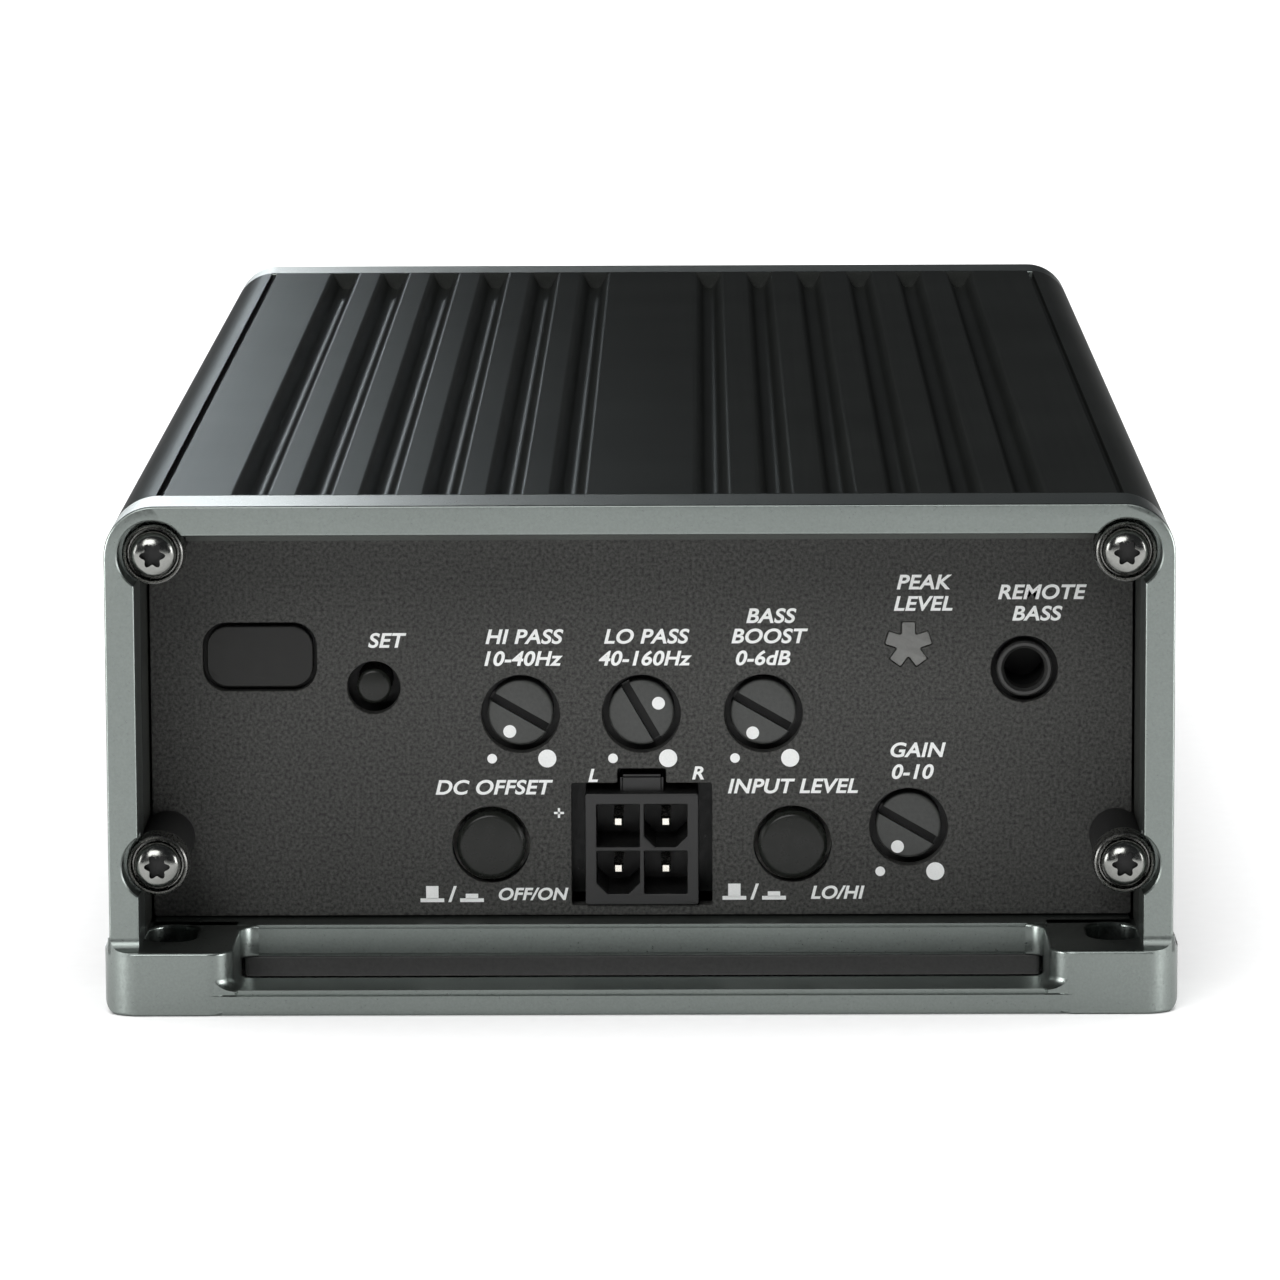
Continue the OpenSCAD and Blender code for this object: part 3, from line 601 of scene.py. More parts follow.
def bars_outline():
    """An arch of two side bars and a top bar, flared where it meets the feet.

    The opening has a round ledge at each screw.
    """
    low_z = FOOT_H - 0.4
    flare = 1.5
    spread = FOOT_X - HALF_W
    right = [(FOOT_X, low_z), (FOOT_X, FOOT_H)]
    for i in range(1, 6):
        a = math.radians(18 * i)
        right.append((HALF_W + spread * (1 - math.sin(a)), FOOT_H + flare * (1 - math.cos(a))))
    right += arc(HALF_W - CORNER_R, HEIGHT - CORNER_R, CORNER_R, 0, 90, 24)
    reach = math.degrees(math.acos((INNER_X - SCREW_X) / LEDGE_R))
    top_reach = math.degrees(math.asin((OPENING_TOP - SCREW_HIGH_Z) / LEDGE_R))
    inner = [(INNER_X, low_z)]
    inner += arc(SCREW_X, SCREW_LOW_Z, LEDGE_R, -reach, reach)
    inner += arc(SCREW_X, SCREW_HIGH_Z, LEDGE_R, -reach, 180 - top_reach)
    left = [(-x, z) for x, z in right[::-1]]
    left_inner = [(-x, z) for x, z in inner]
    return right + left + left_inner + inner[::-1]


FOOT_OUTER_R = 3.0
FOOT_INNER_R = 2.3
FOOT_LOW_R = 1.3
CAST_EDGE = 0.3
RELIEF_RIM = 0.12
WEB_SCREW_X = 25
WEB_SCREW_SETBACK = 20


def foot_loop(side):
    """A foot seen from above, with round front corners, in row coordinates."""
    corners = [
        (side * FOOT_INNER, at(0), FOOT_INNER_R),
        (side * FOOT_X, at(0), FOOT_OUTER_R),
        (side * FOOT_X, at(FOOT_BACK), 0.6),
        (side * FOOT_INNER, at(FOOT_BACK), 0.3),
    ]
    if side < 0:
        corners = corners[::-1]
    return rounded(corners, 12)


def slot_loop(side):
    run = SLOT_HALF_L - SLOT_HALF_W
    centre = side * SLOT_X
    return (arc(centre, at(SLOT_SETBACK) + run, SLOT_HALF_W, 0, 180, 20)
            + arc(centre, at(SLOT_SETBACK) - run, SLOT_HALF_W, 180, 360, 20))


def mirrored(loop, side):
    """The loop itself, or its mirror image across X = 0."""
    return loop if side > 0 else [(-x, y) for x, y in loop[::-1]]


def corner_waste(side):
    """What lies outside a foot's round outer front corner, seen from above."""
    x, y = FOOT_X - FOOT_OUTER_R, at(FOOT_OUTER_R)
    loop = arc(x, y, FOOT_OUTER_R, -90, 0, 16) + [(x + 6, y), (x + 6, y - 6), (x, y - 6)]
    return mirrored(loop, side)


def low_waste(side):
    """What lies outside a foot's round outer lower edge, seen from the front."""
    x, z = FOOT_X - FOOT_LOW_R, FOOT_LOW_R
    loop = arc(x, z, FOOT_LOW_R, -90, 0, 12) + [(x + 3, z), (x + 3, z - 3), (x, z - 3)]
    return mirrored(loop, side)


def skin(name, rings):
    """A closed solid through sections that have the same number of points."""
    made = bmesh.new()
    rows = [[made.verts.new(p) for p in ring] for ring in rings]
    count = len(rows[0])
    for one, two in zip(rows, rows[1:]):
        for i in range(count):
            k = (i + 1) % count
            made.faces.new((one[i], one[k], two[k], two[i]))
    made.faces.new(rows[0])
    made.faces.new(rows[-1][::-1])
    bmesh.ops.recalc_face_normals(made, faces=made.faces)
    return finished(name, made)


def cove(r, buried):
    """The section of a concave fillet: (distance from the wall, height above the floor)."""
    angles = [math.radians(9 * i) for i in range(11)]
    curve = [(r * (1 - math.cos(a)), r * (1 - math.sin(a))) for a in angles]
    return [(-buried, r)] + curve + [(r, -buried), (-buried, -buried)]


def bar_fillet(side):
    """The fillet between a bar's front face and the foot under it."""
    section = cove(BAR_SETBACK - 0.1, 0.4)
    rings = []
    for x in (side * (INNER_X + 0.02), side * (FOOT_X + 0.1)):
        rings.append([(x, at(BAR_SETBACK - out), FOOT_H - 0.02 + up) for out, up in section])
    fillet = skin("bar_fillet", rings)
    return carve(fillet, [prism("waste", [corner_waste(side)], 0, 12, plan=True)])


def tie_fillet(side):
    """The fillet round a foot's inner corner, where it meets the tie strip."""
    r = 1.0
    cx, cy = FOOT_INNER + FOOT_INNER_R, at(FOOT_INNER_R)
    path = [((x, y), ((x - cx) / FOOT_INNER_R, (y - cy) / FOOT_INNER_R))
            for x, y in arc(cx, cy, FOOT_INNER_R, -100, -180, 16)]
    path.append(((FOOT_INNER, at(TIE_DEPTH - 0.3)), (-1, 0)))
    rings = []
    for (x, y), (nx, ny) in path:
        rings.append([(side * (x + nx * out), y + ny * out, TIE_H - 0.02 + up) for out, up in cove(r, 0.3)])
    fillet = skin("tie_fillet", rings)
    front = bar("front", (-FOOT_X, FOOT_X), (-3, 0.1), (-1, FOOT_H), bevel=0)
    return carve(fillet, [front])


def lip_fillet(side):
    """The upright fillet between a foot's inner side and the lip."""
    r = 1.6
    x, y = FOOT_INNER - r, at(LIP_SETBACK - r)
    loop = [(FOOT_INNER + 0.5, y), (FOOT_INNER + 0.5, y + r + 0.5), (x, y + r + 0.5)]
    loop += arc(x, y, r, 90, 0, 12)
    return prism("lip_fillet", [mirrored(loop[::-1], side)], PLATE_TOP, FOOT_H, bevel=CAST_EDGE, plan=True)


def make_foot(side):
    foot = prism("foot", [foot_loop(side), slot_loop(side)], 0, FOOT_H, bevel=CAST_EDGE, plan=True)
    return carve(foot, [prism("waste", [low_waste(side)], -1, FOOT_BACK + 1)])


def make_end_frame(name, node, rear):
    bars = prism(name, [bars_outline()], BAR_SETBACK, FRAME_DEPTH, bevel=0.2)
    cuts = []
    for x, z in SCREWS:
        profile = [
            (0, 0),
            (0, RELIEF_R + RELIEF_RIM + BAR_SETBACK),
            (BAR_SETBACK + RELIEF_RIM, RELIEF_R),
            (LEDGE_SETBACK, RELIEF_R),
            (LEDGE_SETBACK, 0),
        ]
        cuts.append(lathe("relief", (x, z), profile, 72))
    cuts += [prism("waste", [corner_waste(side)], 0.01, FOOT_H + 1.57, plan=True) for side in (-1, 1)]
    carve(bars, cuts)
    lip_x = (-INNER_X + 0.1, INNER_X - 0.1)
    lip = bar("lip", lip_x, (LIP_SETBACK, WEB_BACK), (PLATE_TOP, FOOT_H), bevel=CAST_EDGE)
    cuts = []
    for side in (-1, 1):
        cuts.append(prism("slot", [slot_loop(side)], -1, FOOT_H + 1, plan=True))
        hole = (side * WEB_SCREW_X, WEB_SCREW_SETBACK)
        cuts.append(rod("web_hole", hole, 1, FOOT_H + 2.4, SHANK_BORE_R, 24, upward=True))
    carve(lip, cuts)
    tie_half = FOOT_X - FOOT_OUTER_R - 0.4
    tie = bar("tie", (-tie_half, tie_half), (0.01, TIE_DEPTH), (0, TIE_H), bevel=TIE_EDGE, segments=4)
    slots = [prism("slot", [slot_loop(side)], -1, FOOT_H + 1, plan=True) for side in (-1, 1)]
    carve(tie, slots)
    solids = [bars, lip, tie]
    for side in (-1, 1):
        solids += [make_foot(side), bar_fillet(side), tie_fillet(side), lip_fillet(side)]
    place(join(name, solids), silver, nodes=[node], rear=rear)


make_end_frame("front_frame_cast", "front_end_frame", False)
make_end_frame("rear_frame_cast", "rear_end_frame", True)


# --- frame screws ---

HEAD_R = 2.1
HEAD_CROWN = 1.3
HEAD_BRIM = 2.5
RECESS_R = 1.12
RECESS_SETBACK = 2.4
LOBES = 6
SHANK_R = 1.5
SHANK_TIP = 25


def star_cutter(x, z, start, end):
    """A six-lobed driver recess."""
    loop = []
    for i in range(96):
        a = 2 * math.pi * i / 96
        reach = RECESS_R * (0.84 + 0.16 * math.cos(LOBES * a))
        loop.append((x + reach * math.cos(a), z + reach * math.sin(a)))
    return prism("star", [loop], start, end)


def button_head(x, z):
    """A domed button head with a driver recess, and its shank; a disc of painted shade darkens the recess
    floor.
    """
    profile = dome(HEAD_CROWN, HEAD_BRIM, 0.5, HEAD_R, 12)
    profile += [
        (3.0, HEAD_R),
        (3.0, SHANK_R),
        (SHANK_TIP - 0.8, SHANK_R),
        (SHANK_TIP, 0.9),
        (SHANK_TIP, 0),
    ]
    screw = lathe("screw", (x, z), profile)
    carve(screw, [star_cutter(x, z, 0.5, RECESS_SETBACK)])
    paint(screw, dark_steel)
    # Painted shade: a near-black disc at the bottom of the recess stands in for the shade inside it.
    floor = rod("recess_floor", (x, z), RECESS_SETBACK - 0.1, RECESS_SETBACK + 0.1, RECESS_R + 0.1, 32)
    paint(floor, painted_shade_black)
    return [screw, floor]


def cup(x, z):
    """A cup washer: a flat ring with a raised, rounded rim."""
    profile = [(3.05, 1.6), (3.02, 2.2)]
    profile += [(2.6, 2.25), (2.3, 2.34), (2.2, 2.46), (2.3, 2.58), (2.7, 2.7)]
    profile += [(LEDGE_SETBACK, 2.78), (LEDGE_SETBACK, 1.6)]
    return lathe("cup", (x, z), profile, 56)


for rear in (False, True):
    end = "rear" if rear else "front"
    heads = join(end + "_button_screws", [piece for x, z in SCREWS for piece in button_head(x, z)])
    place(heads, None, nodes=[end + "_frame_screws"], rear=rear)
    cups = join(end + "_cups", [cup(x, z) for x, z in SCREWS])
    place(cups, black_oxide, nodes=[end + "_cup_washers"], rear=rear)


# --- panels ---


def centre_of(node):
    """The middle of a node's box as (x, z), seen from the front."""
    low, high = node_box(node)
    return ((low.x + high.x) / 2, (low.z + high.z) / 2)


KNOBS = ["knob_hi_pass", "knob_lo_pass", "knob_boost", "knob_gain"]
BUTTONS = ["button_offset", "button_level"]
SETUP = centre_of("setup_button")
WINDOW = centre_of("window_cover")
INDICATOR = centre_of("indicator_led")
JACK = centre_of("remote_jack")
PANEL_LOW_Z = panel_low.z
PANEL_HIGH_Z = ROOF_Z - 0.2
PANEL_HALF_W = INNER_X - 0.2
BOSS_R = 2.35
BOSS_BORE_R = 1.65
SHANK_HOLE_R = 1.6
KNOB_HOLE_R = 3.47
BUTTON_HOLE_R = 3.42
SETUP_HOLE_R = 2.34
JACK_HOLE_R = 2.95
WINDOW_HOLE = (5.02, 3.05)
WINDOW_FACE = (4.68, 2.7)
WINDOW_RIM = (6.02, 4.05)


def asterisk_loop(centre, half_w, reach):
    """A five-armed asterisk with slightly widening arms."""
    corners = []
    half_step = math.radians(36)
    inner = half_w / math.sin(half_step)
    for i in range(5):
        a = math.radians(90 + 72 * i)
        out = Vector((math.cos(a), math.sin(a)))
        left = Vector((-out.y, out.x))
        notch = Vector((math.cos(a + half_step), math.sin(a + half_step))) * inner
        for spot in (out * reach - left * half_w, out * reach + left * half_w, notch):
            corners.append((centre[0] + spot.x, centre[1] + spot.y, 0.15))
    return rounded(corners, 4)


def bossed_panel(name, holes):
    """A panel with its four screw bosses and round-edged cut-outs."""
    edge = rectangle(-PANEL_HALF_W, PANEL_HALF_W, PANEL_LOW_Z, PANEL_HIGH_Z, 0.3)
    panel = prism(name, [edge] + holes, PANEL_SETBACK, PANEL_BACK, bevel=0.1)
    bosses = []
    for x, z in SCREWS:
        profile = [
            (LEDGE_SETBACK, BOSS_BORE_R),
            (LEDGE_SETBACK, BOSS_R - 0.1),
            (LEDGE_SETBACK + 0.1, BOSS_R),
            (PANEL_BACK - 0.05, BOSS_R),
            (PANEL_BACK - 0.05, BOSS_BORE_R),
        ]
        # Painted shade: the bosses take the painted-shade black, darker than the panel, for the shadow
        # round the screws.
        bosses.append(paint(lathe("boss", (x, z), profile, 48), painted_shade_black))
    bores = [rod("bore", spot, 3, 18, SHANK_HOLE_R, 32) for spot in SCREWS]
    carve(panel, bores)
    paint(panel, panel_black)
    return join(name, [panel] + bosses)


def window_loop(halves, r):
    """A rounded rectangle round the window's middle, from its half width and half height."""
    x, z = WINDOW
    return rectangle(x - halves[0], x + halves[0], z - halves[1], z + halves[1], r, 10)


def make_front_panel():
    holes = [circle(*centre_of(knob), KNOB_HOLE_R) for knob in KNOBS]
    holes += [circle(*centre_of(button), BUTTON_HOLE_R) for button in BUTTONS]
    holes.append(circle(*SETUP, SETUP_HOLE_R))
    holes.append(circle(*JACK, JACK_HOLE_R))
    holes.append(window_loop(WINDOW_HOLE, 2.1))
    holes.append(asterisk_loop(INDICATOR, 0.65, 2.05))
    header_hole = [(2.15, 18.9), (-2.15, 18.9), (-2.15, 17.6), (-6.2, 17.6)]
    header_hole = [(-6.2, 6.65), (6.2, 6.65), (6.2, 17.6), (2.15, 17.6)] + header_hole
    holes.append(rounded([(x, z, 0.2) for x, z in header_hole]))
    place(bossed_panel("control_panel", holes), None, nodes=["front_panel"])


make_front_panel()


def make_window():
    face, rim = window_loop(WINDOW_FACE, 1.85), window_loop(WINDOW_RIM, 2.5)
    cover = prism("window", [face], PANEL_SETBACK + 0.2, PANEL_BACK + 0.1, bevel=0.15)
    combine(cover, [prism("rim", [rim], PANEL_BACK, PANEL_BACK + 0.8, bevel=0.05)])
    place(cover, window_black, nodes=["window_cover"])


make_window()

face = asterisk_loop(INDICATOR, 0.6, 2.0)
lens = prism("asterisk_lens", [face], PANEL_SETBACK + 0.1, PANEL_BACK + 0.1, bevel=0.08)
combine(lens, [rod("base", INDICATOR, PANEL_BACK, PANEL_BACK + 1, 2.9)])
place(lens, lens_grey, nodes=["indicator_lens"])


# --- legends ---

INK_FRONT = PANEL_SETBACK - 0.015
legend_pieces = []


def ink_loops(loops):
    """Prints a flat shape on the panel."""
    legend_pieces.append(prism("ink", loops, INK_FRONT, PANEL_SETBACK + 0.05))


def ink_text(words, x, z, size=1.78, slant=0.22):
    """Prints words centred on x with their baseline at z."""
    curve = bpy.data.curves.new("words", "FONT")
    curve.body = words
    curve.size = size
    curve.align_x = "CENTER"
    curve.shear = slant
    curve.offset = 0.045
    curve.space_character = 1.04
    curve.extrude = 0.03
    maker = bpy.data.objects.new("words", curve)
    mesh = bpy.data.meshes.new_from_object(maker)
    bpy.data.objects.remove(maker)
    stand = Matrix.Translation((x, at(PANEL_SETBACK + 0.015), z)) @ Matrix.Rotation(math.pi / 2, 4, "X")
    mesh.transform(stand @ Matrix.Diagonal((1.09, 1, 1, 1)))
    weld(mesh)
    legend_pieces.append(new_object("words", mesh))


def ink_switch_icon(x, z):
    """Button out, a slash, and button in."""
    for left, height in ((x - 2.6, 1.45), (x + 0.9, 0.75)):
        ink_loops([rectangle(left, left + 2.1, z, z + 0.34, 0.02, 1)])
        ink_loops([rectangle(left + 0.5, left + 1.6, z + 0.3, z + height, 0.02, 1)])
    ink_loops([[(x - 0.15, z), (x + 0.12, z), (x + 0.62, z + 1.45), (x + 0.35, z + 1.45)]])


TWO_LINES = [
    ("HI PASS", "10-40Hz", -10.4, -10.65, 30.1, 28.15),
    ("LO PASS", "40-160Hz", 0.35, 0.2, 30.1, 28.15),
    ("BOOST", "0-6dB", 11.1, 10.6, 30.1, 28.15),
    ("GAIN", "0-10", 24.17, 23.75, 19.9, 17.95),
    ("PEAK", "LEVEL", 24.7, 24.7, 34.85, 32.95),
    ("REMOTE", "BASS", 35.05, 34.65, 33.95, 32.05),
]
for upper, lower, x_upper, x_lower, z_upper, z_lower in TWO_LINES:
    ink_text(upper, x_upper, z_upper)
    ink_text(lower, x_lower, z_lower)
ink_text("BASS", 11.3, 31.9)
ink_text("SET", -22.5, 29.8)
ink_text("DC OFFSET", -13.2, 16.65)
ink_text("INPUT LEVEL", 13.25, 16.7)
ink_text("OFF/ON", -9.75, 7.15, size=1.5)
ink_text("LO/HI", 17.15, 7.2, size=1.6)
ink_text("L", -4.35, 17.75, size=1.6)
ink_text("R", 4.9, 17.95, size=1.6)
ink_loops([rectangle(-7.75, -6.87, 14.84, 15.04, 0.02, 1)])
ink_loops([rectangle(-7.41, -7.21, 14.5, 15.38, 0.02, 1)])
ink_switch_icon(-17.0, 6.95)
ink_switch_icon(9.7, 7.1)
for knob in KNOBS:
    x, z = centre_of(knob)
    ink_loops([circle(x - 2.52, z - 3.98, 0.43, 24)])
    ink_loops([circle(x + 2.34, z - 3.98, 0.8, 32)])
place(join("panel_legends", legend_pieces), ink)


# --- knobs and buttons ---

KNOB_R = 2.9
KNOB_SETBACK = 16.3
SLOT_DEPTH = 1.4
DOT_R = 0.57


def make_knob(name, slant, dot_angle, dot_reach):
    """A flush trimmer knob with a screwdriver slot and a printed dot.

    slant is how far the slot leans below the horizontal to the right; the dot's angle
    is clockwise from the top.
    """
    x, z = centre_of(name)
    profile = dome(KNOB_SETBACK, KNOB_SETBACK + 0.2, KNOB_R - 0.3, KNOB_R, 4)
    profile += [(18.3, KNOB_R), (18.3, 1.5), (22.3, 1.5), (22.5, 1.3), (22.5, 0)]
    knob = lathe(name + "_turned", (x, z), profile, 72)
    tilt = Matrix.Translation((x, 0, z)) @ Matrix.Rotation(math.radians(slant), 4, "Y")
    slot_back = KNOB_SETBACK + SLOT_DEPTH
    cutter = bar("cutter", (-4, 4), (KNOB_SETBACK - 1, slot_back), (-0.4, 0.4), bevel=0)
    cutter.data.transform(tilt)
    carve(knob, [cutter])
    paint(knob, knob_black)
    # Painted shade: a near-black plate at the bottom of the screwdriver slot stands in for the shade inside
    # it.
    floor_x = (-KNOB_R + 0.15, KNOB_R - 0.15)
    shade = bar("slot_floor", floor_x, (slot_back - 0.1, slot_back + 0.1), (-0.45, 0.45), bevel=0)
    shade.data.transform(tilt)
    paint(shade, painted_shade_black)
    place(join(name + "_slotted", [knob, shade]), None, body=name, nodes=[name])
    a = math.radians(dot_angle)
    spot = circle(x + dot_reach * math.sin(a), z + dot_reach * math.cos(a), DOT_R, 28)
    dot = prism(name + "_dot", [spot], KNOB_SETBACK - 0.02, KNOB_SETBACK + 0.05)
    place(dot, ink, body=name)


make_knob("knob_hi_pass", 30, 210, 1.95)
make_knob("knob_lo_pass", 60, 62, 1.7)
make_knob("knob_boost", 30, 207, 2.1)
make_knob("knob_gain", 30, 207, 2.15)

for name in BUTTONS:
    profile = [(14.9, 0), (14.9, 2.5), (14.93, 2.68), (15.02, 2.8), (15.25, 3.03), (17.5, 3.03)]
    profile += [(17.5, 1.8), (21.3, 1.8), (21.5, 1.6), (21.5, 0)]
    place(lathe(name + "_cap", centre_of(name), profile, 72), smooth_black, body=name, nodes=[name])

profile = [(16.2, 0), (16.2, 1.2), (16.25, 1.36), (16.4, 1.52), (22.0, 1.52), (22.0, 0)]
place(lathe("setup_cap", SETUP, profile, 48), smooth_black, body="setup_button", nodes=["setup_button"])


# --- input header and jack ---

HEADER_FRONT = 15.0
HEADER_HALF = 5.0
HEADER_Z = 11.75
HALF_PITCH = 2.1
BOARD_FRONT = 24.0
JACK_BORE_R = 1.8
JACK_NOSE_R = 2.45
CELLS = [(x, z) for x in (-1, 1) for z in (-1, 1)]


def pocket_loop(x, z, chamfered):
    """A cell of the header: square, or with its two lower corners cut off."""
    half = 1.9
    cut = 1.0
    low = z - half
    corners = [(x - half, z + half, 0.12), (x + half, z + half, 0.12)]
    if chamfered:
        corners += [(x + half, low + cut, 0.1), (x + half - cut, low, 0.1)]
        corners += [(x - half + cut, low, 0.1), (x - half, low + cut, 0.1)]
    else:
        corners += [(x + half, low, 0.12), (x - half, low, 0.12)]
    return rounded(corners, 4)


def make_header():
    low_z, high_z = HEADER_Z - HEADER_HALF, HEADER_Z + HEADER_HALF
    outer = rectangle(-HEADER_HALF, HEADER_HALF, low_z, high_z, 0.25)
    pockets = [pocket_loop(a * HALF_PITCH, HEADER_Z + b * HALF_PITCH, a * b > 0) for a, b in CELLS]
    shell = prism("header_shell", [outer] + pockets, HEADER_FRONT, 22.7, bevel=0.12)
    back_x = (-HEADER_HALF + 0.1, HEADER_HALF - 0.1)
    back = bar("back", back_x, (22.5, BOARD_FRONT), (low_z + 0.1, high_z - 0.1), bevel=0.05)
    latch_run = (HEADER_FRONT + 1.2, BOARD_FRONT - 0.1)
    latch = bar("latch", (-1.9, 1.9), latch_run, (high_z - 0.25, high_z + 1.45), bevel=0.25)
    combine(shell, [back, latch])
    place(shell, socket_black, nodes=["input_header_housing"])


make_header()


def make_pin(x, z):
    """A square pin with a tapered, blunt tip."""
    rings = []
    square = ((-1, -1), (1, -1), (1, 1), (-1, 1))
    for setback, half in ((17, 0.28), (17.12, 0.36), (17.9, 0.42), (BOARD_FRONT + 3, 0.42)):
        rings.append([(x + a * half, at(setback), z + b * half) for a, b in square])
    return skin("pin", rings)


pins = [make_pin(a * HALF_PITCH, HEADER_Z + b * HALF_PITCH) for a, b in CELLS]
place(join("header_contacts", pins), tin, nodes=["input_header_pins"])


def make_jack():
    x, z = JACK
    start = PANEL_SETBACK + 0.1
    run = (PANEL_BACK + 0.6, BOARD_FRONT)
    body = bar("socket_body", (x - 3.2, x + 3.2), run, (z - 3, z + 3), bevel=0.2)
    carve(body, [rod("bore", JACK, PANEL_SETBACK, BOARD_FRONT - 1, JACK_BORE_R)])
    profile = [(start + 0.35, JACK_BORE_R), (start, 2.05), (start, 2.3), (start + 0.15, JACK_NOSE_R)]
    profile += [(PANEL_BACK + 1, JACK_NOSE_R), (PANEL_BACK + 1, JACK_BORE_R)]
    nose = lathe("nose", JACK, profile)
    paint(nose, moulded_black)
    # Painted shade: the socket body takes the painted-shade black, so its bore reads as shade behind the
    # nose.
    paint(body, painted_shade_black)
    place(join("bass_socket", [nose, body]), None, nodes=["remote_jack"])


make_jack()


# --- power end, built seen from behind and turned half round ---

POWER_SCREWS = ["power_screw_supply", "power_screw_ground", "power_screw_remote"]
SPEAKER_SCREWS = ["speaker_screw_plus", "speaker_screw_minus"]
POWER_HALF = 5.5
SPEAKER_HALF = 5.0
STRIP_HALF_H = 6.7
STRIP_SETBACK = 4.2
SEAT_SETBACK = 9.0
STRIP_BACK = 19.0
BARRIER = 1.2
FUSES = ["fuse_lower", "fuse_upper"]
FUSE_W, FUSE_T, FUSE_H = 19.0, 5.2, 8.1
FUSE_SETBACK = 3.6
HOLDER_HALF_W = 11
HOLDER_Z = (14.5, 33.9)
BLADE_X = 6.6
BLADE_W, BLADE_T, BLADE_L = 5.2, 0.7, 6.6


def behind(node):
    """The middle of a node's box as (x, z), seen from the power end."""
    x, z = centre_of(node)
    return (-x, z)


def make_strip(node, screws, half):
    """A barrier strip: a block with a bay for each screw, open at the bottom."""
    poles = [behind(screw) for screw in screws]
    z = poles[0][1]
    low_z, high_z = z - STRIP_HALF_H, z + STRIP_HALF_H
    outer = rectangle(poles[0][0] - half, poles[-1][0] + half, low_z, high_z, 0.4)
    block = prism(node + "_moulded", [outer], STRIP_SETBACK, STRIP_BACK, bevel=0.25)
    cuts = []
    for x, _ in poles:
        bay = (x - half + BARRIER / 2, x + half - BARRIER / 2)
        cuts.append(bar("bay", bay, (0, SEAT_SETBACK), (low_z - 1, high_z - 1.4), bevel=0.4))
        cuts.append(rod("bore", (x, z), SEAT_SETBACK - 1, STRIP_BACK + 1, 3.25, 48))
    carve(block, cuts)
    place(block, moulded_black, nodes=[node], rear=True)


def make_terminal_screw(node):
    """A pan-headed cross screw with its captive square washer."""
    x, z = behind(node)
    seat = SEAT_SETBACK - 0.3
    half = 3.6
    square = rectangle(x - half, x + half, z - half, z + half, 0.5)
    washer = prism("washer", [square], seat - 1, seat, bevel=0.15)
    crown, brim = seat - 2.9, seat - 1.7
    profile = dome(crown, brim, 1.9, 3.3, 8)
    profile += [(seat - 1.1, 3.3), (seat - 0.9, 3.1), (seat - 0.9, 2), (19.3, 2), (19.6, 1.7), (19.6, 0)]
    screw = lathe(node + "_turned", (x, z), profile, 56)
    slots = []
    slot_run = (crown - 1, crown + 1.3)
    for wide, high in ((1.6, 0.32), (0.32, 1.6)):
        slots.append(bar("slot", (x - wide, x + wide), slot_run, (z - high, z + high), bevel=0.08))
    carve(screw, slots)
    place(join(node + "_and_washer", [screw, washer]), bright_steel, body=node, nodes=[node], rear=True)


def make_fuse(node):
    """A blade fuse with a waisted translucent body and two test points."""
    x, z = behind(node)
    half_w, half_t = FUSE_W / 2, FUSE_T / 2
    back = FUSE_SETBACK + FUSE_H
    outer = rectangle(x - half_w, x + half_w, z - half_t, z + half_t, 0.9)
    body = prism("body", [outer], FUSE_SETBACK, back, bevel=0.3)
    cuts = []
    for side in (-1, 1):
        test_x = (x + side * 7.0 - 0.9, x + side * 7.0 + 0.9)
        cuts.append(bar("test", test_x, (0, FUSE_SETBACK + 1.6), (z - 0.7, z + 0.7), bevel=0.2))
        waist = sorted((z + side * (half_t - 0.7), z + side * (half_t + 1)))
        cuts.append(bar("waist", (x - 4.6, x + 4.6), (FUSE_SETBACK + 1.1, back + 1), waist, bevel=0.3))
    carve(body, cuts)
    paint(body, fuse_green)
    pieces = [body]
    for side in (-1, 1):
        middle = x + side * BLADE_X
        wide, thick = BLADE_W / 2, BLADE_T / 2
        blade_x = (middle - wide, middle + wide)
        blade = bar("blade", blade_x, (back - 1, back + BLADE_L), (z - thick, z + thick), bevel=0.2)
        paint(blade, tin)
        pieces.append(blade)
    place(join(node + "_with_blades", pieces), None, body=node, nodes=[node], rear=True)


def make_fuse_holder():
    spots = [behind(fuse) for fuse in FUSES]
    x = spots[0][0]
    outer = rectangle(x - HOLDER_HALF_W, x + HOLDER_HALF_W, *HOLDER_Z, 0.5)
    block = prism("holder_block", [outer], SEAT_SETBACK, STRIP_BACK, bevel=0.25)
    room_w, room_t = FUSE_W / 2 + 0.4, FUSE_T / 2 + 0.4
    room_run = (SEAT_SETBACK - 1, FUSE_SETBACK + FUSE_H + 0.3)
    wide = BLADE_W / 2 + 0.4
    slit_run = (SEAT_SETBACK + 0.5, STRIP_BACK + 1)
    cuts = []
    for _, z in spots:
        cuts.append(bar("room", (x - room_w, x + room_w), room_run, (z - room_t, z + room_t), bevel=0.3))
        for side in (-1, 1):
            middle = x + side * BLADE_X
            cuts.append(bar("slit", (middle - wide, middle + wide), slit_run, (z - 1.3, z + 1.3), bevel=0))
    carve(block, cuts)
    place(block, moulded_black, nodes=["fuse_holder"], rear=True)


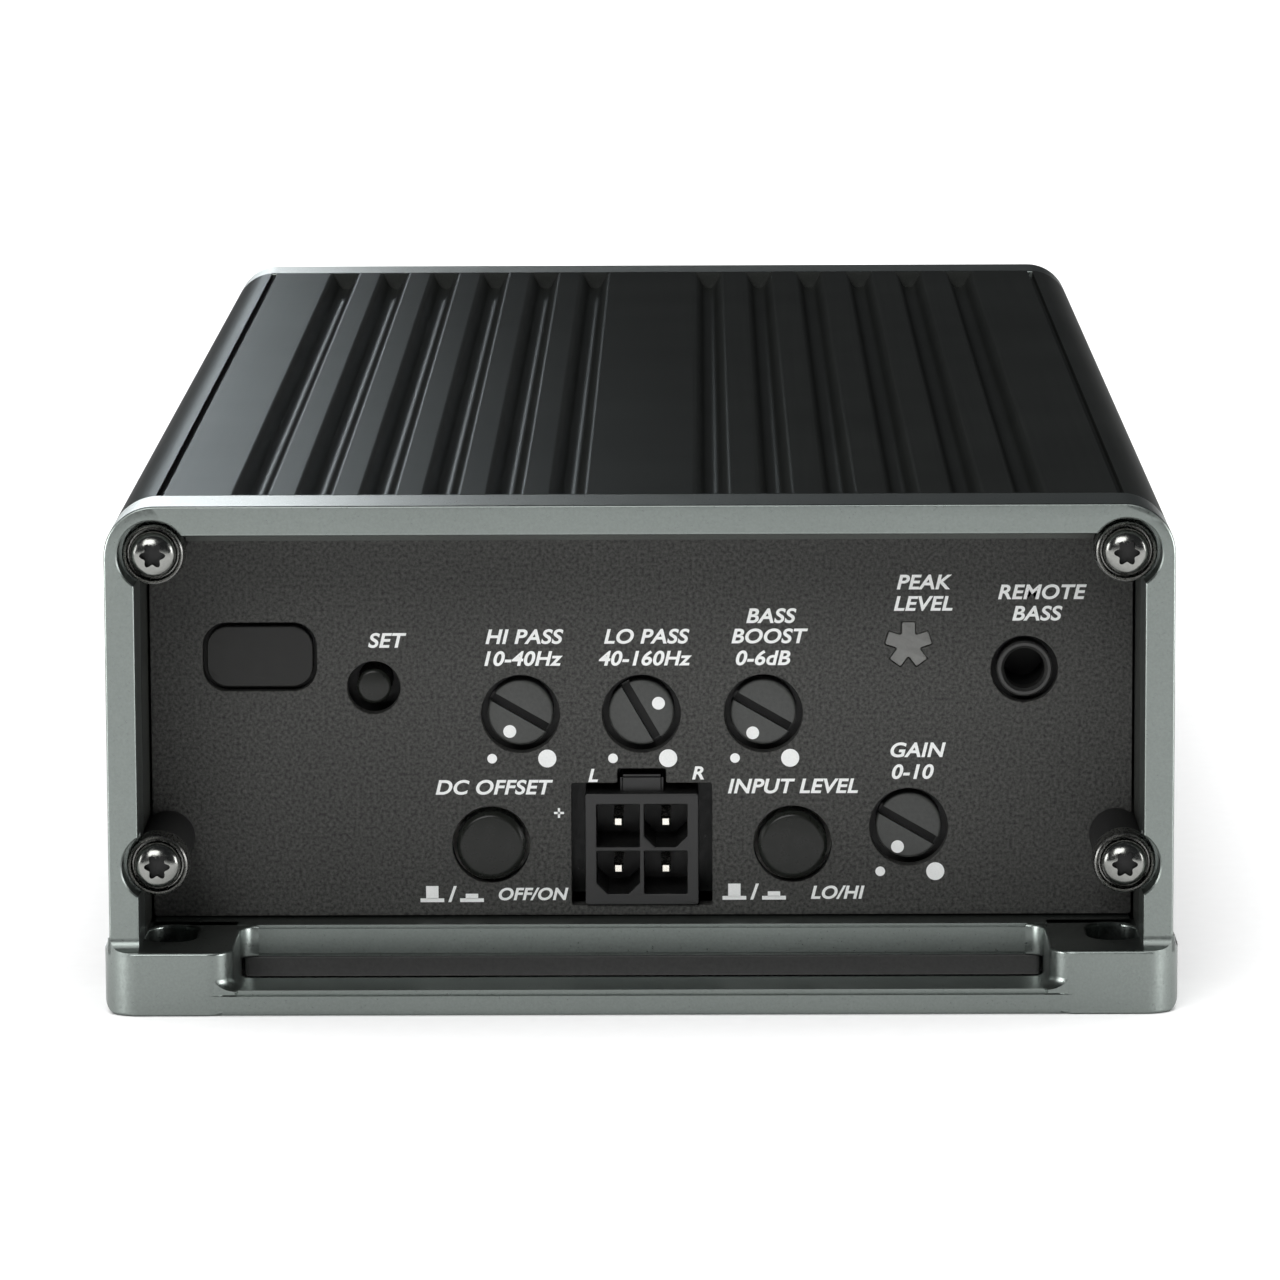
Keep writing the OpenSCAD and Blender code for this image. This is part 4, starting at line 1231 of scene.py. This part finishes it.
def make_rear_panel():
    gap = 0.2
    reach = STRIP_HALF_H + gap
    holes = []
    for screws, half in ((POWER_SCREWS, POWER_HALF), (SPEAKER_SCREWS, SPEAKER_HALF)):
        left, z = behind(screws[0])
        right = behind(screws[-1])[0]
        holes.append(rectangle(left - half - gap, right + half + gap, z - reach, z + reach, 0.4))
    x = behind(FUSES[0])[0]
    half = HOLDER_HALF_W + gap
    holes.append(rectangle(x - half, x + half, HOLDER_Z[0] - gap, HOLDER_Z[1] + gap, 0.5))
    place(bossed_panel("power_panel", holes), None, nodes=["rear_panel"], rear=True)


make_strip("power_terminal_strip", POWER_SCREWS, POWER_HALF)
make_strip("speaker_terminal_strip", SPEAKER_SCREWS, SPEAKER_HALF)
for node in POWER_SCREWS + SPEAKER_SCREWS:
    make_terminal_screw(node)
make_fuse_holder()
for node in FUSES:
    make_fuse(node)
make_rear_panel()

REAR_LEGENDS = {
    "power_screw_supply": "+12V",
    "power_screw_ground": "GND",
    "power_screw_remote": "REM",
    "fuse_lower": "FUSES",
    "speaker_screw_plus": "+",
    "speaker_screw_minus": "-",
}
legend_pieces = []
for node, words in REAR_LEGENDS.items():
    ink_text(words, behind(node)[0], 35.2, slant=0)
place(join("power_legends", legend_pieces), ink, rear=True)


# --- base plate ---


def make_base_plate():
    low, high = plate_low, plate_high
    notch_x = FOOT_INNER - 0.3
    notch = FOOT_BACK + 0.2
    r = 0.4
    right = [(notch_x, low.y), (notch_x, at(notch)), (high.x, at(notch))]
    right += [(x, -y) for x, y in right[::-1]]
    outline = right + [(-x, y) for x, y in right[::-1]]
    outline = rounded([(x, y, r) for x, y in outline])
    plate = prism("base_sheet", [outline], low.z, high.z, bevel=0.15, plan=True)
    sides = (-1, 1)
    spots = [(side * 41, setback) for side in sides for setback in (36, LENGTH / 2, LENGTH - 36)]
    ends = (WEB_SCREW_SETBACK, LENGTH - WEB_SCREW_SETBACK)
    spots += [(side * WEB_SCREW_X, setback) for side in sides for setback in ends]
    sink = [(low.z - 1, 0), (low.z - 1, 4.2), (low.z + 1.5, 1.7), (high.z + 1, 1.7), (high.z + 1, 0)]
    sinks = [lathe("sink", spot, sink, 40, upward=True) for spot in spots]
    carve(plate, sinks)
    place(plate, plate_black, nodes=["base_plate"])


make_base_plate()


# --- the other CAD nodes keep their shapes ---

KEPT = [
    (dark_steel, ["base_plate_screws"]),
    (clear_epoxy, ["indicator_led"]),
    (moulded_black, ["trimmer_bodies", "setup_switch_body", "board_link"]),
    (nylon_white, ["latching_switch_bodies"]),
    (solder_mask, ["control_board", "main_board"]),
    (brass, ["board_standoffs"]),
    (bright_steel, ["board_screws", "clamp_screws"]),
    (ferrite, ["transformer_core"]),
    (copper, ["transformer_winding", "inductor_windings"]),
    (iron_powder, ["inductor_cores"]),
    (sleeve, ["bulk_capacitors"]),
    (dipped_red, ["film_capacitors"]),
    (epoxy, ["driver_chips", "transistors"]),
    (silicone, ["insulator_pads"]),
    (mill_aluminium, ["clamp_bars"]),
    (tin, ["terminal_contacts", "fuse_contacts"]),
]
for material, nodes in KEPT:
    for node in nodes:
        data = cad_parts[node].data
        data.materials.clear()
        data.materials.append(material)


# --- floor, light and camera ---


def make_floor():
    made = bmesh.new()
    half = 4.0
    corners = ((-half, -half), (half, -half), (half, half), (-half, half))
    made.faces.new([made.verts.new((x, y, 0)) for x, y in corners])
    floor = finished("floor", made)
    paint(floor, floor_pale)
    return floor


def area_light(name, location, target, size, power, colour=(1, 1, 1)):
    """A rectangular soft light aimed at a point; lengths in metres."""
    light = bpy.data.lights.new(name, "AREA")
    light.shape = "RECTANGLE"
    light.size, light.size_y = size
    light.energy = power
    light.color = colour
    lamp = bpy.data.objects.new(name, light)
    bpy.context.scene.collection.objects.link(lamp)
    lamp.location = location
    lamp.rotation_mode = "QUATERNION"
    lamp.rotation_quaternion = (Vector(target) - Vector(location)).to_track_quat("-Z", "Y")
    return lamp


COOL = (0.93, 0.97, 1.0)
COOLER = (0.86, 0.95, 1.0)

floor = make_floor()
area_light("key", (-0.5, -1.6, 1.1), (0, 0, 0.02), (1.1, 0.8), 14)
frame_rim = area_light("frame_rim", (-0.486, 1.0, 0.39), (-0.486, 0, 0.39), (0.8, 0.45), 5, COOL)
case_rim = area_light("case_rim", (-0.268, 0.985, 0.19), (-0.17, 0, 0.044), (0.3, 0.2), 0.007, COOLER)
case_rim.data.spread = math.radians(5)
overhead = area_light("overhead", (0, -0.9, 1.3), (0, 0, 0), (1.4, 1.0), 7)
for side in (-1, 1):
    area_light("side_strip", (side, -0.35, 0.22), (0, 0, 0.02), (0.25, 0.4), 2)
corner_strips = []
for side in (-1, 1):
    spot, aim = (side * 0.21, -0.21, 0.05), (side * 0.04, -0.09, 0.01)
    corner_strips.append(area_light("corner_strip", spot, aim, (0.06, 0.1), 0.35))
wash = area_light("floor_wash", (0, 1.2, 3.0), (0, 1.2, 0), (6, 7), 350)


def light_only(lamp, objects):
    """Limits a light to some of the objects."""
    group = bpy.data.collections.new(lamp.name + "_only")
    for obj in objects:
        group.objects.link(obj)
    lamp.light_linking.receiver_collection = group


case = bpy.data.objects["case_extrusion"]
end_frames = [bpy.data.objects[name] for name in ("front_frame_cast", "rear_frame_cast")]
meshes = [obj for obj in bpy.context.scene.objects if obj.type == "MESH"]
light_only(wash, [floor])
light_only(case_rim, [case])
for strip in corner_strips:
    light_only(strip, end_frames[:1])
light_only(overhead, end_frames)
light_only(frame_rim, [obj for obj in meshes if obj not in (case, floor)])

world = bpy.data.worlds.new("studio")
world.use_nodes = True
background = world.node_tree.nodes["Background"]
background.inputs["Color"].default_value = (0.9, 0.95, 1.0, 1)
background.inputs["Strength"].default_value = 0.05
bpy.context.scene.world = world
bpy.context.scene.view_settings.view_transform = "Standard"


def make_camera():
    """A long lens, a little above the control end and nearly square to it."""
    tilt = math.radians(9.243)
    yaw = math.radians(-0.486)
    roll = math.radians(-0.248)
    stand = (0.00523, FRONT_Y * MM - 0.61208, 0.13251)
    across = math.cos(tilt)
    forward = Vector((math.sin(yaw) * across, math.cos(yaw) * across, -math.sin(tilt)))
    level = Vector((math.cos(yaw), -math.sin(yaw), 0))
    up = level.cross(forward)
    right = level * math.cos(roll) + up * math.sin(roll)
    top = up * math.cos(roll) - level * math.sin(roll)
    lens_data = bpy.data.cameras.new("camera")
    lens_data.sensor_width = 36
    lens_data.lens = 203.5
    lens_data.clip_start = 0.05
    lens_data.clip_end = 20
    camera = bpy.data.objects.new("camera", lens_data)
    bpy.context.scene.collection.objects.link(camera)
    basis = Matrix((right, top, -forward)).transposed().to_4x4()
    camera.matrix_world = Matrix.Translation(stand) @ basis
    bpy.context.scene.camera = camera


make_camera()
